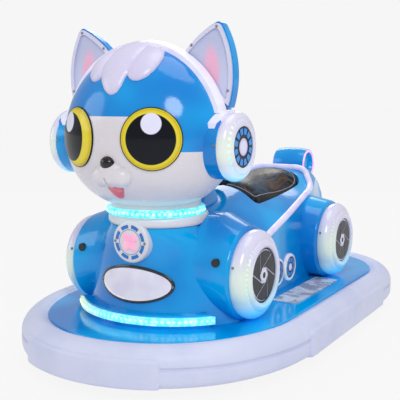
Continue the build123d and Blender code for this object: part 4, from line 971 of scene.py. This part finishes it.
v = seatValues
seam = seatPlan(v["inset"], v["planStep"])
pad = swollenPad()
fromSeam = planDistance(seam)
for point in pad.vertices:  # the stitched line pulls the cover down beside the piping
    if point.normal.z > 0.3:
        point.co.z -= v["seamDepth"] * math.exp(-(fromSeam(point.co) / v["seamWidth"]) ** 2)
pad = baked(pad, ("SUBSURF", {"levels": 1, "render_levels": 1}))
seatCover = keep("seatCover", pad, seatPrint)
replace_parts(seatCover, "seat_pad")
cover = rayTree(pad)
rows = []
for place in seam:
    hit, facing = fromAbove(cover, place)
    rows.append((hit + facing * v["piping"] * 0.5, facing))
for turn in range(v["cordRounds"]):  # the cord lies evenly along the seam
    rows = [((rows[k - 1][0] + place * 2 + rows[(k + 1) % len(rows)][0]) / 4,
             (rows[k - 1][1] + facing * 2 + rows[(k + 1) % len(rows)][1]).normalized())
            for k, (place, facing) in enumerate(rows)]
keep("seatPiping", tube(rows, v["piping"], 8), pipingVinyl)
print("padded seat:", len(pad.polygons), "faces")

# badge
badgeValues = {"height": 0.404, "inner": 0.0435, "outer": 0.0545, "span": 31, "arcs": 8, "arcThick": 0.0011,
               "line": 0.0385, "lineWide": 0.0016, "lineThick": 0.0009, "petals": 4,
               "petal": (0.0135, 0.0035, 0.0165), "petalOut": 0.0165}


def ringPiece(inner, outer, first, last, thick, steps):
    # a flat bevelled piece of a ring that faces -Y, centred on the origin
    angles = [math.radians(first + (last - first) * k / steps) for k in range(steps + 1)]
    whole = last - first >= 360
    angles = angles[:-1] if whole else angles
    edge = thick * 0.5
    section = ((inner, 0.0005), (inner, -thick + edge), (inner + edge, -thick), (outer - edge, -thick),
               (outer, -thick + edge), (outer, 0.0005))
    points = [(r * math.cos(a), y, r * math.sin(a)) for a in angles for r, y in section]
    size = len(section)
    faces = gridFaces(len(angles), size, whole, True)
    if not whole:
        faces += [tuple(range(size)), tuple(range(len(points) - 1, len(points) - size - 1, -1))]
    return solid(points, faces)


v = badgeValues
badgeMiddle = (0, fromFront("chest_badge", 0, v["height"])[0].y, v["height"])


def around(shape, count, turn, finish):
    return grown(roundTree, None, Shape=shape, Count=count, Turn=math.radians(turn), Place=badgeMiddle,
                 Finish=finish)


badgeArc = pattern(ringPiece(v["inner"], v["outer"], -v["span"] / 2, v["span"] / 2, v["arcThick"], 10))
badgePetal = pattern(balls([((0, -0.0005, v["petalOut"]), v["petal"])], 4))
line = ringPiece(v["line"], v["line"] + v["lineWide"], 0, 360, v["lineThick"], 72)
line.transform(Matrix.Translation(badgeMiddle))
keep("badgeArcs", joined(around(badgeArc, v["arcs"], 22.5, badgeBlue), line), badgeBlue)
keep("badgePetals", around(badgePetal, v["petals"], 45, badgePink), badgePink)
print("badge is in")

# screws; lamp and cup screws go round their lamp at these turns in degrees
screwValues = {"lampX": 0.3095, "lampTurns": (18, 108, 198, 288), "cupX": 0.288, "cupTurns": (5, 185),
               "sink": 0.0004, "lining": ((0.2500, 1.056), (0.1640, 1.004), (0.2885, 0.868)), "badgeX": 0.055,
               "plateX": 0.1325}
screwHead = pattern(lathe([(0, 0.0004), (0.0014, 0.0004), (0.0018, 0.0019), (0.0030, 0.0021), (0.0041, 0.0013),
                           (0.0046, 0.0), (0.0046, -0.0012), (0, -0.0012)], 12))


def roundLamp(node, middle, turns):
    found = []
    for turn in turns:
        cos, sin = cosSin(turn)
        away = Vector((0, -cos, sin))
        found.append(landed(node, Vector(middle) + away * 0.3, -away))
    return found


rows = []
v = screwValues
for side, hand in ((-1, "right"), (1, "left")):
    for end in ("front", "rear"):
        middle = (v["lampX"] * side, wheelLamp[end], wheelLamp["z"])
        rows += roundLamp(f"wheel_lamp_{end}_{hand}", middle, v["lampTurns"])
    rows += roundLamp(f"ear_cup_{hand}", (v["cupX"] * side, cupLamp["front"], cupLamp["z"]), v["cupTurns"])
    rows += [fromFront("ear_linings", x * side, z) for x, z in v["lining"]]
    rows.append(fromFront("chest_badge", v["badgeX"] * side, badgeValues["height"]))
    rows.append(fromFront("ovalPlate", v["plateX"] * side, plateValues["z"]))
rows = [(place + facing * v["sink"], facing) for place, facing in rows]
screws = grown(pointTree, pointsWithAim(rows), Shape=screwHead, Size=1.0, Finish=screwSteel)
keep("buttonScrews", screws, screwSteel)
print("screws:", len(rows))

# horn cap on the steering wheel
capValues = {"middle": (0, -0.130, 0.630), "lean": 40, "spokeScrew": 0.048, "screws": 0.8}
cos, sin = cosSin(capValues["lean"])
shaft, down = Vector((0, cos, sin)), Vector((0, sin, -cos))
above = Vector(capValues["middle"]) + shaft * 0.2
hub = landed("steering_wheel", above, -shaft)[0]
hornCap = placed(lathe([(0, 0.0075), (0.008, 0.0072), (0.016, 0.0058), (0.021, 0.0032), (0.0225, 0.0012),
                        (0.0245, 0.0014), (0.0275, 0.0010), (0.0285, -0.0010), (0, -0.0012)], 48), hub, shaft)
keep("hornCap", hornCap, blackAbs, "steering")
rows = []
for turn in (0, 120, 240):
    cos, sin = cosSin(turn)
    spoke = down * cos + Vector((1, 0, 0)) * sin
    rows.append(landed("steering_wheel", above + spoke * capValues["spokeScrew"], -shaft))
wheelScrews = grown(pointTree, pointsWithAim(rows), Shape=screwHead, Size=capValues["screws"], Finish=screwSteel)
keep("wheelScrews", wheelScrews, screwSteel, "steering")
print("horn cap is in")

# light beads in the neck ring and the step strip
beadValues = {"pitch": 0.0167, "neckY": -0.450, "neckReach": 0.1588, "stepY": -0.322, "stepReach": 0.3272,
              "stepBack": -0.523}
beadShape = pattern(lathe([(0, 0.0052), (0.0030, 0.0044), (0.0052, 0.0015), (0.0052, -0.0015), (0.0030, -0.0044),
                           (0, -0.0052)], 10))


def arcLine(node, middleY, reach, first, last):
    # a line half way up a node, between two turns in degrees
    low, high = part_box(node)
    count = 96
    way = [cosSin(first + (last - first) * k / count) for k in range(count + 1)]
    return plainMesh([(reach * cos, middleY + reach * sin, (low[2] + high[2]) / 2) for cos, sin in way],
                     edges=[(k, k + 1) for k in range(count)])


v = beadValues
sweep = math.degrees(math.asin((v["stepY"] - v["stepBack"]) / v["stepReach"])) + 1.2
for name, line in (("neckBeads", arcLine("neck_light_ring", v["neckY"], v["neckReach"], -200, 20)),
                   ("stepBeads", arcLine("front_light_strip", v["stepY"], v["stepReach"], -180 + sweep, -sweep))):
    beads = grown(beadTree, line, Shape=beadShape, Pitch=v["pitch"], Finish=beadGlow)
    keep(name, beads, beadGlow)
print("light beads are in")

# tread on the foot mats
treadValues = {"length": 0.013, "width": 0.0046, "height": 0.0009, "pitch": 0.0135, "middleX": 0.316,
               "wide": 0.078, "across": 7, "margin": 0.012}


def lozenge(length, width, height):
    outline = [cosSin(turn) for turn in range(0, 360, 45)]
    points = [(x * length * share / 2, y * width * share / 2, z)
              for share, z in ((1.0, -height), (0.9, height * 0.6), (0.55, height)) for x, y in outline]
    return plainMesh(points, gridFaces(3, 8, loopColumns=True) + [tuple(range(16, 24)), tuple(range(7, -1, -1))])


v = treadValues
treadShape = pattern(lozenge(v["length"], v["width"], v["height"]))
low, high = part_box("foot_mats")
treads = []
for side, front in ((1, low[1] + v["margin"]), (-1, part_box("throttle_pedal")[1][1] + v["margin"])):
    length = high[1] - v["margin"] - front
    treads.append(grown(treadTree, None, Shape=treadShape, Width=v["wide"], Length=length, Across=v["across"],
                        Along=int(length / v["pitch"]) | 1, Place=(v["middleX"] * side, front + length / 2, high[2]),
                        Finish=matFoil))
keep("matTread", joined(*treads), matFoil)
print("mat tread is in")
for holder in (screwHead, beadShape, treadShape, badgeArc, badgePetal):
    bpy.data.objects.remove(holder)
